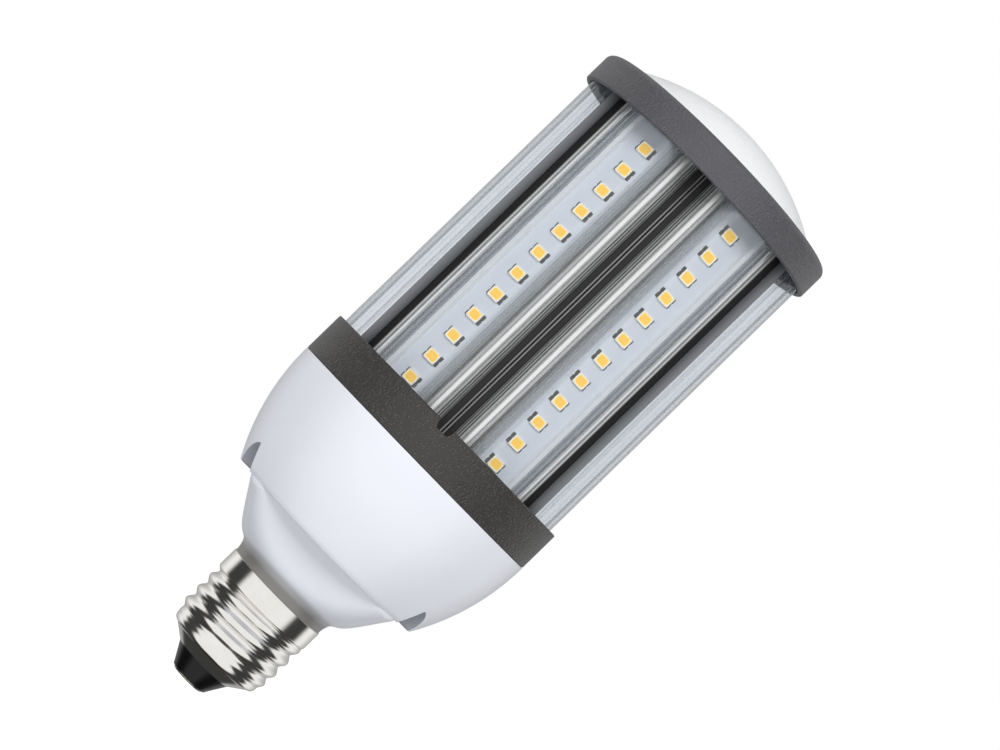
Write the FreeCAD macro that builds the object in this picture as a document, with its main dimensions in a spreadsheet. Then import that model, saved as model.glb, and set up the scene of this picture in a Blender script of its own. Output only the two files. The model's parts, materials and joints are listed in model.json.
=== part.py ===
"""Corn LED bulb with an E27 screw cap, as a parametric assembly in millimetres.

The axis of the bulb is Z. The underside of the centre contact is at z = 0 and the
dome is at the top. The front of the bulb, with a gap between two panels, faces -Y.
"""
import FreeCAD
import Part
import Sketcher
import math
import os

V = FreeCAD.Vector
doc = FreeCAD.newDocument("corn_led_bulb")
sheet = doc.addObject("Spreadsheet::Sheet", "dims")


class Dim:
    """A number together with the spreadsheet expression that drives it."""

    def __init__(self, text, value):
        self.text = text
        self.value = value

    def __add__(self, other):
        other = as_dim(other)
        return Dim("(%s + %s)" % (self.text, other.text), self.value + other.value)

    def __sub__(self, other):
        other = as_dim(other)
        return Dim("(%s - %s)" % (self.text, other.text), self.value - other.value)

    def __mul__(self, other):
        other = as_dim(other)
        return Dim("(%s * %s)" % (self.text, other.text), self.value * other.value)

    def __truediv__(self, other):
        other = as_dim(other)
        return Dim("(%s / %s)" % (self.text, other.text), self.value / other.value)

    def __neg__(self):
        return Dim("(0 - %s)" % self.text, -self.value)

    def root(self):
        return Dim("sqrt(%s)" % self.text, math.sqrt(self.value))


def as_dim(x):
    if isinstance(x, Dim):
        return x
    return Dim("%.8g" % x, float(x))


# Driving dimensions: name, millimetres, what it is.
DIMS = [
    ("contact_r", 4.2, "centre contact radius"),
    ("contact_thick", 0.4, "centre contact plate thickness"),
    ("contact_edge", 0.2, "broken edge of the contact plate"),
    ("contact_stem_r", 1.2, "rivet stem of the centre contact"),
    ("contact_stem_rise", 0.6, "stem above the insulator"),
    ("insulator_low_r", 4.85, "lower radius of the black insulator"),
    ("insulator_round", 0.4, "rounding of the insulator's foot"),
    ("insulator_foot", 4.7, "height of the insulator below the shell"),
    ("insulator_top_r", 7.4, "insulator radius where it meets the shell"),
    ("insulator_plug", 0.85, "straight top of the insulator inside the shell"),
    ("shell_lip", 0.65, "thickness of the shell's lower lip"),
    ("shell_seat_rise", 2.4, "height of the cone that seats the insulator"),
    ("shell_seat_in", 1.1, "the cone's top, in from the shell's bore"),
    ("shell_wall", 0.6, "sheet thickness at the thread root"),
    ("shell_root_r", 12.1, "thread root radius"),
    ("shell_curl", 3.0, "height of the rolled lower end"),
    ("curl_in", 0.9, "start of the roll, in from the root radius"),
    ("curl_drop", 1.35, "start of the roll, below its end"),
    ("curl_round", 2.0, "radius of the roll"),
    ("thread_depth", 1.0, "height of the thread ridge"),
    ("thread_pitch", 3.63, "E27 thread pitch"),
    ("thread_width", 2.9, "width of the thread ridge at its root"),
    ("thread_sink", 0.25, "depth that the ridge reaches into the sheet"),
    ("thread_start", 0.785, "first ridge centre above the rolled end"),
    ("thread_run_out", 1.9, "length of ridge hidden in the collar"),
    ("lead_in_low", 1.2, "start of the thread's lead-in above the rolled end"),
    ("lead_in_high", 2.9, "end of the thread's lead-in above the rolled end"),
    ("lead_in_out", 1.3, "radius gained over the thread's lead-in"),
    ("thread_len", 15.0, "height of the threaded part"),
    ("collar_step", 0.05, "collar radius over the thread crest"),
    ("collar_cone", 0.7, "cone under the collar"),
    ("collar_len", 4.6, "height of the plain collar"),
    ("neck_step", 0.25, "housing neck radius over the collar"),
    ("neck_len", 1.9, "straight neck above the shell"),
    ("neck_flare_out", 3.1, "radius gained by the neck's flare"),
    ("neck_flare_up", 2.9, "height of the neck's flare"),
    ("spigot_len", 6.7, "housing spigot inside the shell"),
    ("spigot_wall", 2.2, "wall of the spigot"),
    ("funnel_len", 9.8, "height of the funnel below the lip"),
    ("funnel_arc_r", 25.0, "profile radius of the funnel"),
    ("bowl_len", 27.5, "height of the bowl above the lip"),
    ("bowl_taper", 7.3, "radius lost from the bowl's mouth to the lip"),
    ("front_recess", 5.9, "depth of the front and back grip recess at the lip"),
    ("side_recess", 4.3, "depth of the side grip recess at the lip"),
    ("recess_arc_r", 30.0, "profile radius of the recess faces"),
    ("recess_low_in", 1.15, "foot of the recess faces, in from the funnel"),
    ("recess_low_drop", 1.1, "foot of the recess faces, below the funnel"),
    ("tab_half", 6.2, "half width of the side tab at the lip"),
    ("notch_half", 14.25, "outer end of the side notches"),
    ("notch_rise", 5.7, "height of the side notches"),
    ("mouth_wall", 2.1, "housing wall at the mouth"),
    ("mouth_ledge", 0.9, "ledge under the ring's spigot"),
    ("recess_wall", 2.1, "housing wall behind the front recess"),
    ("ledge_rise", 7.2, "driver board ledge above the lip"),
    ("ledge_seat", 7.6, "width of the ledge under the driver board"),
    ("driver_board_out", 1.1, "driver board radius over the lip radius"),
    ("driver_board_thick", 1.6, "driver board thickness"),
    ("driver_board_gap", 0.2, "play round the driver board"),
    ("driver_side", 2.6, "straight wall round the driver board"),
    ("capacitor_r", 6.3, "driver capacitor radius"),
    ("capacitor_tall", 14.0, "driver capacitor height"),
    ("capacitor_groove", 0.5, "depth of the rolled groove round the capacitor"),
    ("capacitor_groove_up", 1.7, "rolled groove above the driver board"),
    ("capacitor_groove_wide", 0.8, "width of the rolled groove"),
    ("capacitor_left", 13.9, "capacitor to the left of the axis"),
    ("capacitor_back", 8.1, "capacitor behind the axis"),
    ("inductor_r", 5.0, "driver inductor radius"),
    ("inductor_tall", 9.0, "driver inductor height"),
    ("inductor_waist", 1.2, "depth of the inductor's winding space"),
    ("inductor_flange", 1.35, "flange of the inductor's bobbin"),
    ("inductor_left", 10.6, "inductor to the left of the axis"),
    ("inductor_front", 11.5, "inductor in front of the axis"),
    ("transformer_wide", 15.0, "driver transformer width"),
    ("transformer_deep", 13.0, "driver transformer depth"),
    ("transformer_tall", 12.0, "driver transformer height"),
    ("transformer_right", 12.0, "transformer to the right of the axis"),
    ("transformer_back", 9.0, "transformer behind the axis"),
    ("rectifier_wide", 8.0, "driver rectifier width"),
    ("rectifier_deep", 6.5, "driver rectifier depth"),
    ("rectifier_tall", 2.6, "driver rectifier height"),
    ("rectifier_right", 13.9, "rectifier to the right of the axis"),
    ("rectifier_front", 10.6, "rectifier in front of the axis"),
    ("lead_r", 0.8, "lead radius"),
    ("lead_wall_gap", 0.5, "neutral lead to the spigot's bore"),
    ("lead_tail_drop", 5.2, "neutral lead's tail below the spigot"),
    ("lead_tail_gap", 0.03, "neutral lead's tail to the shell"),
    ("core_apothem", 17.7, "distance of the core's flats from the axis"),
    ("core_wall", 4.5, "core wall behind the flats"),
    ("fin_thick", 0.33, "thickness of the corner fins"),
    ("fin_gap", 0.44, "gap between the two fins of a corner"),
    ("fin_deep", 2.84, "depth of the spaces beside the fins"),
    ("fin_gap_deep", 2.24, "depth of the gap between the fins"),
    ("fin_rail_gap", 0.045, "space beside the fins, short of the rail's corner"),
    ("rail_band", 3.05, "ribbed band of a rail, measured outwards"),
    ("rail_bead", 2.4, "bright round bead of a rail, measured outwards"),
    ("rail_bulge", 1.15, "how far the bead stands out"),
    ("rail_slot", 1.95, "dark slot over the bead, measured outwards"),
    ("rail_flank", 2.2, "flat flank under the cover, measured outwards"),
    ("rail_out", 0.3, "rail's ribbed band, out from the cover's side"),
    ("rail_in", 0.45, "rail's flank, in from the cover's side"),
    ("rail_side", 1.15, "rail wall beside the LED board"),
    ("slot_wall", 0.5, "rail wall between the slot and the LED board"),
    ("rail_back", 1.4, "rail wall against the core"),
    ("rail_web", 1.6, "rail wall behind the LED board"),
    ("rail_hollow_in", 0.4, "rail hollow, in from the LED board's edge"),
    ("rib_first", 0.1, "first rib groove from the core"),
    ("rib_pitch", 1.1, "pitch of the rib grooves"),
    ("rib_wide", 0.5, "width of a rib groove"),
    ("rib_deep", 0.4, "depth of a rib groove"),
    ("board_thick", 1.2, "LED board thickness"),
    ("board_sink", 1.7, "LED board's face below the rail's front"),
    ("board_lap", 0.5, "rail lip over the LED board's edge"),
    ("board_short", 0.5, "LED board short of the ring's floor and the cap"),
    ("cover_half", 7.5, "half width of the clear cover"),
    ("cover_rise", 4.85, "height of the clear cover over the rail"),
    ("cover_round", 2.5, "corner rounding of the clear cover"),
    ("cover_wall", 1.1, "wall of the clear cover"),
    ("cover_gap", 0.13, "play between covers and the ring's wall"),
    ("cover_groove_wide", 0.5, "width of the fine groove along the cover's side"),
    ("cover_groove_deep", 0.25, "depth of the fine groove along the cover's side"),
    ("led_low_margin", 1.6, "lowest LED above the ring"),
    ("led_top_margin", 4.14, "highest LED below the cap"),
    ("led_wide", 3.5, "LED package width"),
    ("led_tall", 2.8, "LED package height"),
    ("led_thick", 0.8, "LED package thickness"),
    ("emit_rim_side", 0.25, "package rim beside the emitter"),
    ("emit_rim_end", 0.25, "package rim above and below the emitter"),
    ("emit_deep", 0.25, "emitter depth"),
    ("panel_view", 75.7, "panel height in view between ring and cap"),
    ("ring_wall", 1.25, "wall of the ring and cap"),
    ("ring_step", 0.05, "housing mouth radius over the ring"),
    ("ring_height", 10.1, "height of the ring"),
    ("ring_floor", 2.5, "floor thickness of the ring"),
    ("ring_spigot_len", 3.0, "ring spigot in the housing's mouth"),
    ("ring_spigot_wall", 2.0, "wall of the ring's spigot"),
    ("ring_edge", 0.25, "broken edges of the ring and cap"),
    ("ring_top_round", 0.35, "rounding of the ring's top edge"),
    ("ring_notch_top", 4.6, "notch width at the ring's top edge"),
    ("ring_notch_low", 3.4, "notch width at its bottom"),
    ("ring_notch_deep", 2.0, "depth of the ring notch"),
    ("ring_notch_round", 0.5, "rounding of the ring notch's lower corners"),
    ("cable_hole_r", 8.0, "cable hole in the ring's floor"),
    ("cap_skirt", 5.0, "cap wall below the cap's plate"),
    ("cap_plate", 2.5, "thickness of the cap's plate"),
    ("cap_round", 1.6, "rounding of the cap's top edge"),
    ("cap_rim", 4.95, "cap rim outside the dome"),
    ("dome_rise", 9.1, "height of the dome over the cap"),
    ("dome_wall", 1.5, "wall of the dome"),
    ("dome_foot", 1.2, "dome foot in the cap's groove"),
    ("screw_r", 1.5, "screw shank radius"),
    ("screw_gap", 0.1, "clearance round a screw in ring and cap"),
    ("screw_len", 12.0, "screw shank length"),
    ("screw_head_r", 2.8, "screw head radius"),
    ("screw_head", 1.8, "screw head height"),
]
P = {}
sheet.set("A1", "name")
sheet.set("B1", "mm")
sheet.set("C1", "what it is")
for row, (alias, size, note) in enumerate(DIMS, start=2):
    sheet.set("A%d" % row, alias)
    sheet.set("B%d" % row, "%g" % size)
    sheet.set("C%d" % row, note)
    sheet.setAlias("B%d" % row, alias)
    P[alias] = Dim("dims.%s" % alias, size)
doc.recompute()

LED_COUNT = 12
PANEL_COUNT = 6
FIRST_PANEL_TURN = 180.0 - 180.0 / PANEL_COUNT
SCREW_COUNT = 3
RIB_COUNT = 3
COS30 = math.sqrt(3) / 2

# Levels along the axis, from the centre contact up.
insulator_top_z = P["contact_thick"] + P["insulator_foot"]
curl_z = insulator_top_z + P["shell_curl"]
collar_low_z = curl_z + P["thread_len"]
collar_top_z = collar_low_z + P["collar_len"]
neck_top_z = collar_top_z + P["neck_len"]
funnel_low_z = neck_top_z + P["neck_flare_up"]
lip_z = funnel_low_z + P["funnel_len"]
ring_low_z = lip_z + P["bowl_len"]
floor_z = ring_low_z + P["ring_floor"]
ring_top_z = ring_low_z + P["ring_height"]
cap_low_z = ring_top_z + P["panel_view"]
cap_plate_z = cap_low_z + P["cap_skirt"]
cap_top_z = cap_plate_z + P["cap_plate"]
dome_top_z = cap_top_z + P["dome_rise"]
seat_low_z = insulator_top_z + P["shell_lip"]
seat_top_z = seat_low_z + P["shell_seat_rise"]
insulator_end_z = seat_top_z + P["insulator_plug"]
contact_end_z = insulator_end_z + P["contact_stem_rise"]
spigot_low_z = collar_top_z - P["spigot_len"]
mouth_z = ring_low_z - P["ring_spigot_len"]
ledge_z = lip_z + P["ledge_rise"]
driver_top_z = ledge_z + P["driver_board_thick"]
panel_len = cap_plate_z - floor_z

# Distances from the axis: core, rail, board and cover, then ring, housing and cap round them.
rail_band_d = P["core_apothem"] + P["rail_band"]
slot_low_d = rail_band_d + P["rail_bead"]
slot_top_d = slot_low_d + P["rail_slot"]
rail_top_d = slot_top_d + P["rail_flank"]
board_front_d = rail_top_d - P["board_sink"]
board_back_d = board_front_d - P["board_thick"]
cover_front_d = rail_top_d + P["cover_rise"]
rail_half = P["cover_half"] + P["rail_out"]
flank_half = P["cover_half"] - P["rail_in"]
board_half = flank_half - P["rail_side"]
corner_w = P["cover_half"] - P["cover_round"]
corner_d = cover_front_d - P["cover_round"]
cover_reach = (corner_w * corner_w + corner_d * corner_d).root() + P["cover_round"]
wall_in_r = cover_reach + P["cover_gap"]
ring_r = wall_in_r + P["ring_wall"]
bowl_r = ring_r + P["ring_step"]
ring_spigot_r = bowl_r - P["mouth_wall"]
lip_r = bowl_r - P["bowl_taper"]
dome_r = ring_r - P["cap_rim"]
driver_board_r = lip_r + P["driver_board_out"]
crest_r = P["shell_root_r"] + P["thread_depth"]
collar_r = crest_r + P["collar_step"]
shell_bore_r = P["shell_root_r"] - P["shell_wall"]
seat_top_r = shell_bore_r - P["shell_seat_in"]
spigot_bore_r = shell_bore_r - P["spigot_wall"]
neck_r = collar_r + P["neck_step"]
funnel_low_r = neck_r + P["neck_flare_out"]
core_bore_r = P["core_apothem"] - P["core_wall"]
core_corner_r = P["core_apothem"] / COS30
screw_circle_r = core_bore_r + P["core_wall"] / 2
led_pitch = (P["panel_view"] - P["led_low_margin"] - P["led_top_margin"]) / (LED_COUNT - 1)
neutral_x = spigot_bore_r - P["lead_r"] - P["lead_wall_gap"]


def arc_from_rise(half_chord, rise):
    """Radius of an arc from half its chord and its rise."""
    return (half_chord * half_chord + rise * rise) / (rise * 2)


def origin_item(body, role):
    for item in body.Origin.OriginFeatures:
        if item.Role == role:
            return item
    raise RuntimeError("no origin item " + role)


bodies = []


def new_body(name):
    body = doc.addObject("PartDesign::Body", name)
    body.Label = name
    bodies.append(body)
    return body


def new_sketch(body, name, plane, offset=None):
    sk = body.newObject("Sketcher::SketchObject", name)
    sk.AttachmentSupport = [(origin_item(body, plane), "")]
    sk.MapMode = "FlatFace"
    if offset is not None:
        sk.AttachmentOffset = FreeCAD.Placement(V(0, 0, offset.value), FreeCAD.Rotation())
        sk.setExpression("AttachmentOffset.Base.z", offset.text)
    return sk


def add_constraints(sk, constraints, driven):
    base = sk.ConstraintCount
    sk.addConstraint(constraints)
    for index, dim in driven:
        if "dims." in dim.text:
            sk.setExpression("Constraints[%d]" % (base + index), dim.text)


def pin_point(constraints, driven, geometry, point, x, y):
    """Hold one point of the sketch at x, y."""
    for axis, kind, dim in ((-2, "DistanceX", x), (-1, "DistanceY", y)):
        if dim.value == 0.0:
            constraints.append(Sketcher.Constraint("PointOnObject", geometry, point, axis))
        else:
            driven.append((len(constraints), dim))
            constraints.append(Sketcher.Constraint(kind, -1, 1, geometry, point, dim.value))


def add_loop(sk, points, arcs=None):
    """Closed outline through the points; arcs maps an edge to its radius and whether it turns left."""
    arcs = arcs or {}
    points = [(as_dim(x), as_dim(y)) for x, y in points]
    count = len(points)
    ends = []
    for i in range(count):
        start = V(points[i][0].value, points[i][1].value, 0)
        stop = V(points[(i + 1) % count][0].value, points[(i + 1) % count][1].value, 0)
        if i not in arcs:
            ends.append((sk.addGeometry(Part.LineSegment(start, stop), False), 1, 2))
            continue
        radius = as_dim(arcs[i][0]).value
        left = arcs[i][1]
        chord = stop - start
        rise = math.sqrt(max(radius ** 2 - chord.Length ** 2 / 4, 0.0))
        side = V(-chord.y, chord.x, 0).normalize()
        centre = (start + stop) * 0.5 + side * (rise if left else -rise)
        first, last = (start, stop) if left else (stop, start)
        a0 = math.atan2(first.y - centre.y, first.x - centre.x)
        a1 = math.atan2(last.y - centre.y, last.x - centre.x)
        arc = Part.ArcOfCircle(Part.Circle(centre, V(0, 0, 1), radius), a0, a1)
        ends.append((sk.addGeometry(arc, False),) + ((1, 2) if left else (2, 1)))
    constraints = []
    driven = []
    for i in range(count):
        geometry, start, stop = ends[i]
        after, after_start, after_stop = ends[(i + 1) % count]
        constraints.append(Sketcher.Constraint("Coincident", geometry, stop, after, after_start))
    for i in range(count):
        geometry, start, stop = ends[i]
        pin_point(constraints, driven, geometry, start, points[i][0], points[i][1])
        if i in arcs:
            radius = as_dim(arcs[i][0])
            driven.append((len(constraints), radius))
            constraints.append(Sketcher.Constraint("Radius", geometry, radius.value))
    add_constraints(sk, constraints, driven)


def add_box(sk, x0, y0, x1, y1):
    add_loop(sk, [(x0, y0), (x1, y0), (x1, y1), (x0, y1)])


def add_circle(sk, x, y, radius):
    x = as_dim(x)
    y = as_dim(y)
    circle = Part.Circle(V(x.value, y.value, 0), V(0, 0, 1), radius.value)
    geometry = sk.addGeometry(circle, False)
    constraints = [Sketcher.Constraint("Radius", geometry, radius.value)]
    driven = [(0, radius)]
    pin_point(constraints, driven, geometry, 3, x, y)
    add_constraints(sk, constraints, driven)


def drive(feature, name, dim):
    setattr(feature, name, dim.value)
    feature.setExpression(name, dim.text)


def revolve(body, name, points, arcs=None, cut=False):
    sk = new_sketch(body, name + "_profile", "XZ_Plane")
    add_loop(sk, points, arcs)
    feature = body.newObject("PartDesign::Groove" if cut else "PartDesign::Revolution", name)
    feature.Profile = sk
    feature.ReferenceAxis = (sk, ["V_Axis"])
    feature.Angle = 360.0
    body.Tip = feature
    return feature


def pad(body, sk, name, length, reverse=False):
    feature = body.newObject("PartDesign::Pad", name)
    feature.Profile = sk
    drive(feature, "Length", length)
    feature.Reversed = reverse
    body.Tip = feature
    return feature


def pocket(body, sk, name, length=None, both=False, reverse=False):
    feature = body.newObject("PartDesign::Pocket", name)
    feature.Profile = sk
    if length is None:
        feature.Type = "ThroughAll"
    else:
        drive(feature, "Length", length)
    if both:
        feature.SideType = "Symmetric"
    feature.Reversed = reverse
    body.Tip = feature
    return feature


def mirrored(body, name, feature, plane):
    doc.recompute()
    copy = body.newObject("PartDesign::Mirrored", name)
    copy.Originals = [feature]
    copy.MirrorPlane = (origin_item(body, plane), [""])
    body.Tip = copy


def polar(body, name, features, count):
    doc.recompute()
    copy = body.newObject("PartDesign::PolarPattern", name)
    copy.Originals = features
    copy.Axis = (origin_item(body, "Z_Axis"), [""])
    copy.Angle = 360.0
    copy.Occurrences = count
    body.Tip = copy


def stack(body, name, features, span, count):
    doc.recompute()
    copy = body.newObject("PartDesign::LinearPattern", name)
    copy.Originals = features
    copy.Direction = (origin_item(body, "Z_Axis"), [""])
    drive(copy, "Length", span)
    copy.Occurrences = count
    body.Tip = copy


def centre_contact():
    edge_r = P["contact_r"] - P["contact_edge"]
    revolve(new_body("centre_contact"), "contact_turned", [
        (0, 0), (edge_r, 0), (P["contact_r"], P["contact_edge"]), (P["contact_r"], P["contact_thick"]),
        (P["contact_stem_r"], P["contact_thick"]), (P["contact_stem_r"], contact_end_z), (0, contact_end_z)])


def base_insulator():
    """Black cone below the shell, with a plug that seats in the shell's lower cone."""
    low_r = P["insulator_low_r"]
    low_z = P["contact_thick"]
    soft = P["insulator_round"]
    top_r = P["insulator_top_r"]
    stem_r = P["contact_stem_r"]
    revolve(new_body("base_insulator"), "insulator_turned", [
        (stem_r, low_z), (low_r - soft, low_z), (low_r, low_z + soft), (top_r, insulator_top_z),
        (top_r, seat_low_z), (seat_top_r, seat_top_z), (seat_top_r, insulator_end_z), (stem_r, insulator_end_z)],
        {1: (soft, True)})


def screw_shell():
    """Rolled shell with a right-hand ridge that fades in at the curl and runs into the plain collar."""
    body = new_body("screw_shell")
    root_r = P["shell_root_r"]
    revolve(body, "shell_turned", [
        (P["insulator_top_r"], insulator_top_z), (root_r - P["curl_in"], curl_z - P["curl_drop"]),
        (root_r, curl_z), (root_r, collar_low_z - P["collar_cone"]), (collar_r, collar_low_z),
        (collar_r, collar_top_z), (shell_bore_r, collar_top_z), (shell_bore_r, insulator_end_z),
        (seat_top_r, seat_top_z), (P["insulator_top_r"], seat_low_z)],
        {1: (P["curl_round"], True)})
    ridge = new_sketch(body, "ridge_profile", "XZ_Plane")
    start_z = curl_z + P["thread_start"]
    half = P["thread_width"] / 2
    inner_r = root_r - P["thread_sink"]
    add_loop(ridge, [(-inner_r, start_z - half), (-inner_r, start_z + half), (-root_r, start_z + half),
                     (-root_r, start_z - half)], {2: (arc_from_rise(half, P["thread_depth"]), True)})
    helix = body.newObject("PartDesign::AdditiveHelix", "thread_ridge")
    helix.Profile = ridge
    helix.ReferenceAxis = (ridge, ["V_Axis"])
    helix.Mode = "pitch-height-angle"
    drive(helix, "Pitch", P["thread_pitch"])
    drive(helix, "Height", collar_low_z + P["thread_run_out"] - start_z)
    helix.LeftHanded = False
    body.Tip = helix
    doc.recompute()
    over_r = crest_r + P["thread_depth"]
    revolve(body, "thread_lead_in", [
        (root_r, curl_z + P["lead_in_low"]), (root_r + P["lead_in_out"], curl_z + P["lead_in_high"]),
        (over_r, curl_z + P["lead_in_high"]), (over_r, insulator_top_z), (root_r, insulator_top_z)], cut=True)


def driver_housing():
    """White bowl and funnel turned in one, hollow, with four grip recesses under one lip."""
    body = new_body("driver_housing")
    wide_r = driver_board_r + P["driver_board_gap"]
    seat_r = driver_board_r - P["ledge_seat"]
    front_y = lip_r - P["front_recess"]
    side_x = lip_r - P["side_recess"]
    flare_r = arc_from_rise(P["neck_flare_up"], P["neck_flare_out"])
    bowl_arc_r = arc_from_rise(P["bowl_len"], P["bowl_taper"])
    revolve(body, "housing_turned", [
        (bowl_r, ring_low_z), (ring_spigot_r, ring_low_z), (ring_spigot_r, mouth_z),
        (ring_spigot_r - P["mouth_ledge"], mouth_z), (wide_r, ledge_z + P["driver_side"]), (wide_r, ledge_z),
        (seat_r, ledge_z), (front_y - P["recess_wall"], lip_z), (spigot_bore_r + P["recess_wall"], funnel_low_z),
        (spigot_bore_r, neck_top_z), (spigot_bore_r, spigot_low_z), (shell_bore_r, spigot_low_z),
        (shell_bore_r, collar_top_z), (neck_r, collar_top_z), (neck_r, neck_top_z), (funnel_low_r, funnel_low_z),
        (lip_r, lip_z)],
        {14: (flare_r, False), 15: (P["funnel_arc_r"], True), 16: (bowl_arc_r, True)})

    foot_r = funnel_low_r - P["recess_low_in"]
    foot_z = funnel_low_z - P["recess_low_drop"]
    out_r = bowl_r + P["mouth_wall"]
    front = new_sketch(body, "front_recess_profile", "YZ_Plane")
    add_loop(front, [(-front_y, lip_z), (-out_r, lip_z), (-out_r, neck_top_z), (-foot_r, neck_top_z),
                     (-foot_r, foot_z)], {4: (P["recess_arc_r"], False)})
    mirrored(body, "back_recess", pocket(body, front, "front_recess", both=True), "XZ_Plane")
    side = new_sketch(body, "side_recess_profile", "XZ_Plane")
    add_loop(side, [(side_x, lip_z), (foot_r, foot_z), (foot_r, neck_top_z), (out_r, neck_top_z),
                    (out_r, lip_z)], {0: (P["recess_arc_r"], False)})
    mirrored(body, "left_recess", pocket(body, side, "right_recess", both=True), "YZ_Plane")
    notch = new_sketch(body, "notch_profile", "YZ_Plane", side_x)
    low_z = lip_z - P["recess_low_drop"]
    for tab_y, end_y in ((P["tab_half"], P["notch_half"]), (-P["tab_half"], -P["notch_half"])):
        add_loop(notch, [(tab_y, low_z), (end_y, low_z), (end_y, lip_z + P["notch_rise"]), (tab_y, lip_z)])
    notches = pocket(body, notch, "right_notches", length=out_r - side_x, reverse=True)
    mirrored(body, "left_notches", notches, "YZ_Plane")


def driver_board():
    body = new_body("driver_board")
    sk = new_sketch(body, "driver_board_outline", "XY_Plane", ledge_z)
    add_circle(sk, 0, 0, driver_board_r)
    add_circle(sk, 0, 0, P["lead_r"])
    add_circle(sk, neutral_x, 0, P["lead_r"])
    pad(body, sk, "driver_board_plate", P["driver_board_thick"])


def driver_parts():
    """Plain parts that stand on the driver board, each in its own quarter of it."""

    def can(name, x, y, radius, tall, groove, groove_up, groove_wide):
        body = new_body(name)
        sk = new_sketch(body, name + "_outline", "XY_Plane", driver_top_z)
        add_circle(sk, x, y, radius)
        pad(body, sk, name + "_can", tall)
        doc.recompute()
        ring = new_sketch(body, name + "_groove", "XY_Plane", driver_top_z + groove_up)
        add_circle(ring, x, y, radius + groove)
        add_circle(ring, x, y, radius - groove)
        pocket(body, ring, name + "_waist", length=groove_wide, reverse=True)

    def block(name, x, y, wide, deep, tall):
        body = new_body(name)
        sk = new_sketch(body, name + "_outline", "XY_Plane", driver_top_z)
        add_box(sk, x - wide / 2, y - deep / 2, x + wide / 2, y + deep / 2)
        pad(body, sk, name + "_block", tall)

    can("driver_capacitor", -P["capacitor_left"], P["capacitor_back"], P["capacitor_r"], P["capacitor_tall"],
        P["capacitor_groove"], P["capacitor_groove_up"], P["capacitor_groove_wide"])
    can("driver_inductor", -P["inductor_left"], -P["inductor_front"], P["inductor_r"], P["inductor_tall"],
        P["inductor_waist"], P["inductor_flange"], P["inductor_tall"] - P["inductor_flange"] * 2)
    block("driver_transformer", P["transformer_right"], P["transformer_back"], P["transformer_wide"],
          P["transformer_deep"], P["transformer_tall"])
    block("driver_rectifier", P["rectifier_right"], -P["rectifier_front"], P["rectifier_wide"],
          P["rectifier_deep"], P["rectifier_tall"])


def leads():
    """Live lead from the centre contact and neutral lead from the shell, both up to the driver board."""
    body = new_body("live_lead")
    sk = new_sketch(body, "live_lead_section", "XY_Plane", contact_end_z)
    add_circle(sk, 0, 0, P["lead_r"])
    pad(body, sk, "live_lead_wire", driver_top_z - contact_end_z)
    body = new_body("neutral_lead")
    tail_z = spigot_low_z - P["lead_tail_drop"]
    sk = new_sketch(body, "neutral_lead_section", "XY_Plane", tail_z - P["lead_r"])
    add_circle(sk, neutral_x, 0, P["lead_r"])
    pad(body, sk, "neutral_lead_wire", driver_top_z - tail_z + P["lead_r"])
    doc.recompute()
    sk = new_sketch(body, "neutral_tail_section", "YZ_Plane", neutral_x)
    add_circle(sk, 0, tail_z, P["lead_r"])
    pad(body, sk, "neutral_tail_wire", shell_bore_r - neutral_x - P["lead_tail_gap"])


def screw_holes(body, name, level, length, radius, reverse=False):
    sk = new_sketch(body, name + "_outline", "XY_Plane", level)
    add_circle(sk, 0, screw_circle_r, radius)
    polar(body, name + "s", [pocket(body, sk, name, length=length, reverse=reverse)], SCREW_COUNT)


def lower_ring():
    """Dark ring with a floor for the panels, a spigot into the housing and a notch front and back."""
    body = new_body("lower_ring")
    spigot_in_r = ring_spigot_r - P["ring_spigot_wall"]
    soft = P["ring_top_round"]
    edge = P["ring_edge"]
    revolve(body, "ring_turned", [
        (P["cable_hole_r"], ring_low_z), (spigot_in_r, ring_low_z), (spigot_in_r, mouth_z), (ring_spigot_r, mouth_z),
        (ring_spigot_r, ring_low_z), (ring_r - edge, ring_low_z), (ring_r, ring_low_z + edge),
        (ring_r, ring_top_z - soft), (ring_r - soft, ring_top_z), (wall_in_r, ring_top_z), (wall_in_r, floor_z),
        (P["cable_hole_r"], floor_z)], {7: (soft, True)})
    sk = new_sketch(body, "ring_notch_profile", "XZ_Plane")
    top_x = P["ring_notch_top"] / 2
    low_x = P["ring_notch_low"] / 2
    low_z = ring_top_z - P["ring_notch_deep"]
    over_z = ring_top_z + P["ring_notch_deep"]
    corner = P["ring_notch_round"]
    add_loop(sk, [(-top_x, ring_top_z), (-low_x, low_z + corner), (corner - low_x, low_z), (low_x - corner, low_z),
                  (low_x, low_z + corner), (top_x, ring_top_z), (top_x, over_z), (-top_x, over_z)],
             {1: (corner, True), 3: (corner, True)})
    pocket(body, sk, "ring_notch", both=True)
    screw_holes(body, "ring_screw_hole", floor_z, P["ring_floor"], P["screw_r"] + P["screw_gap"])


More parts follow.
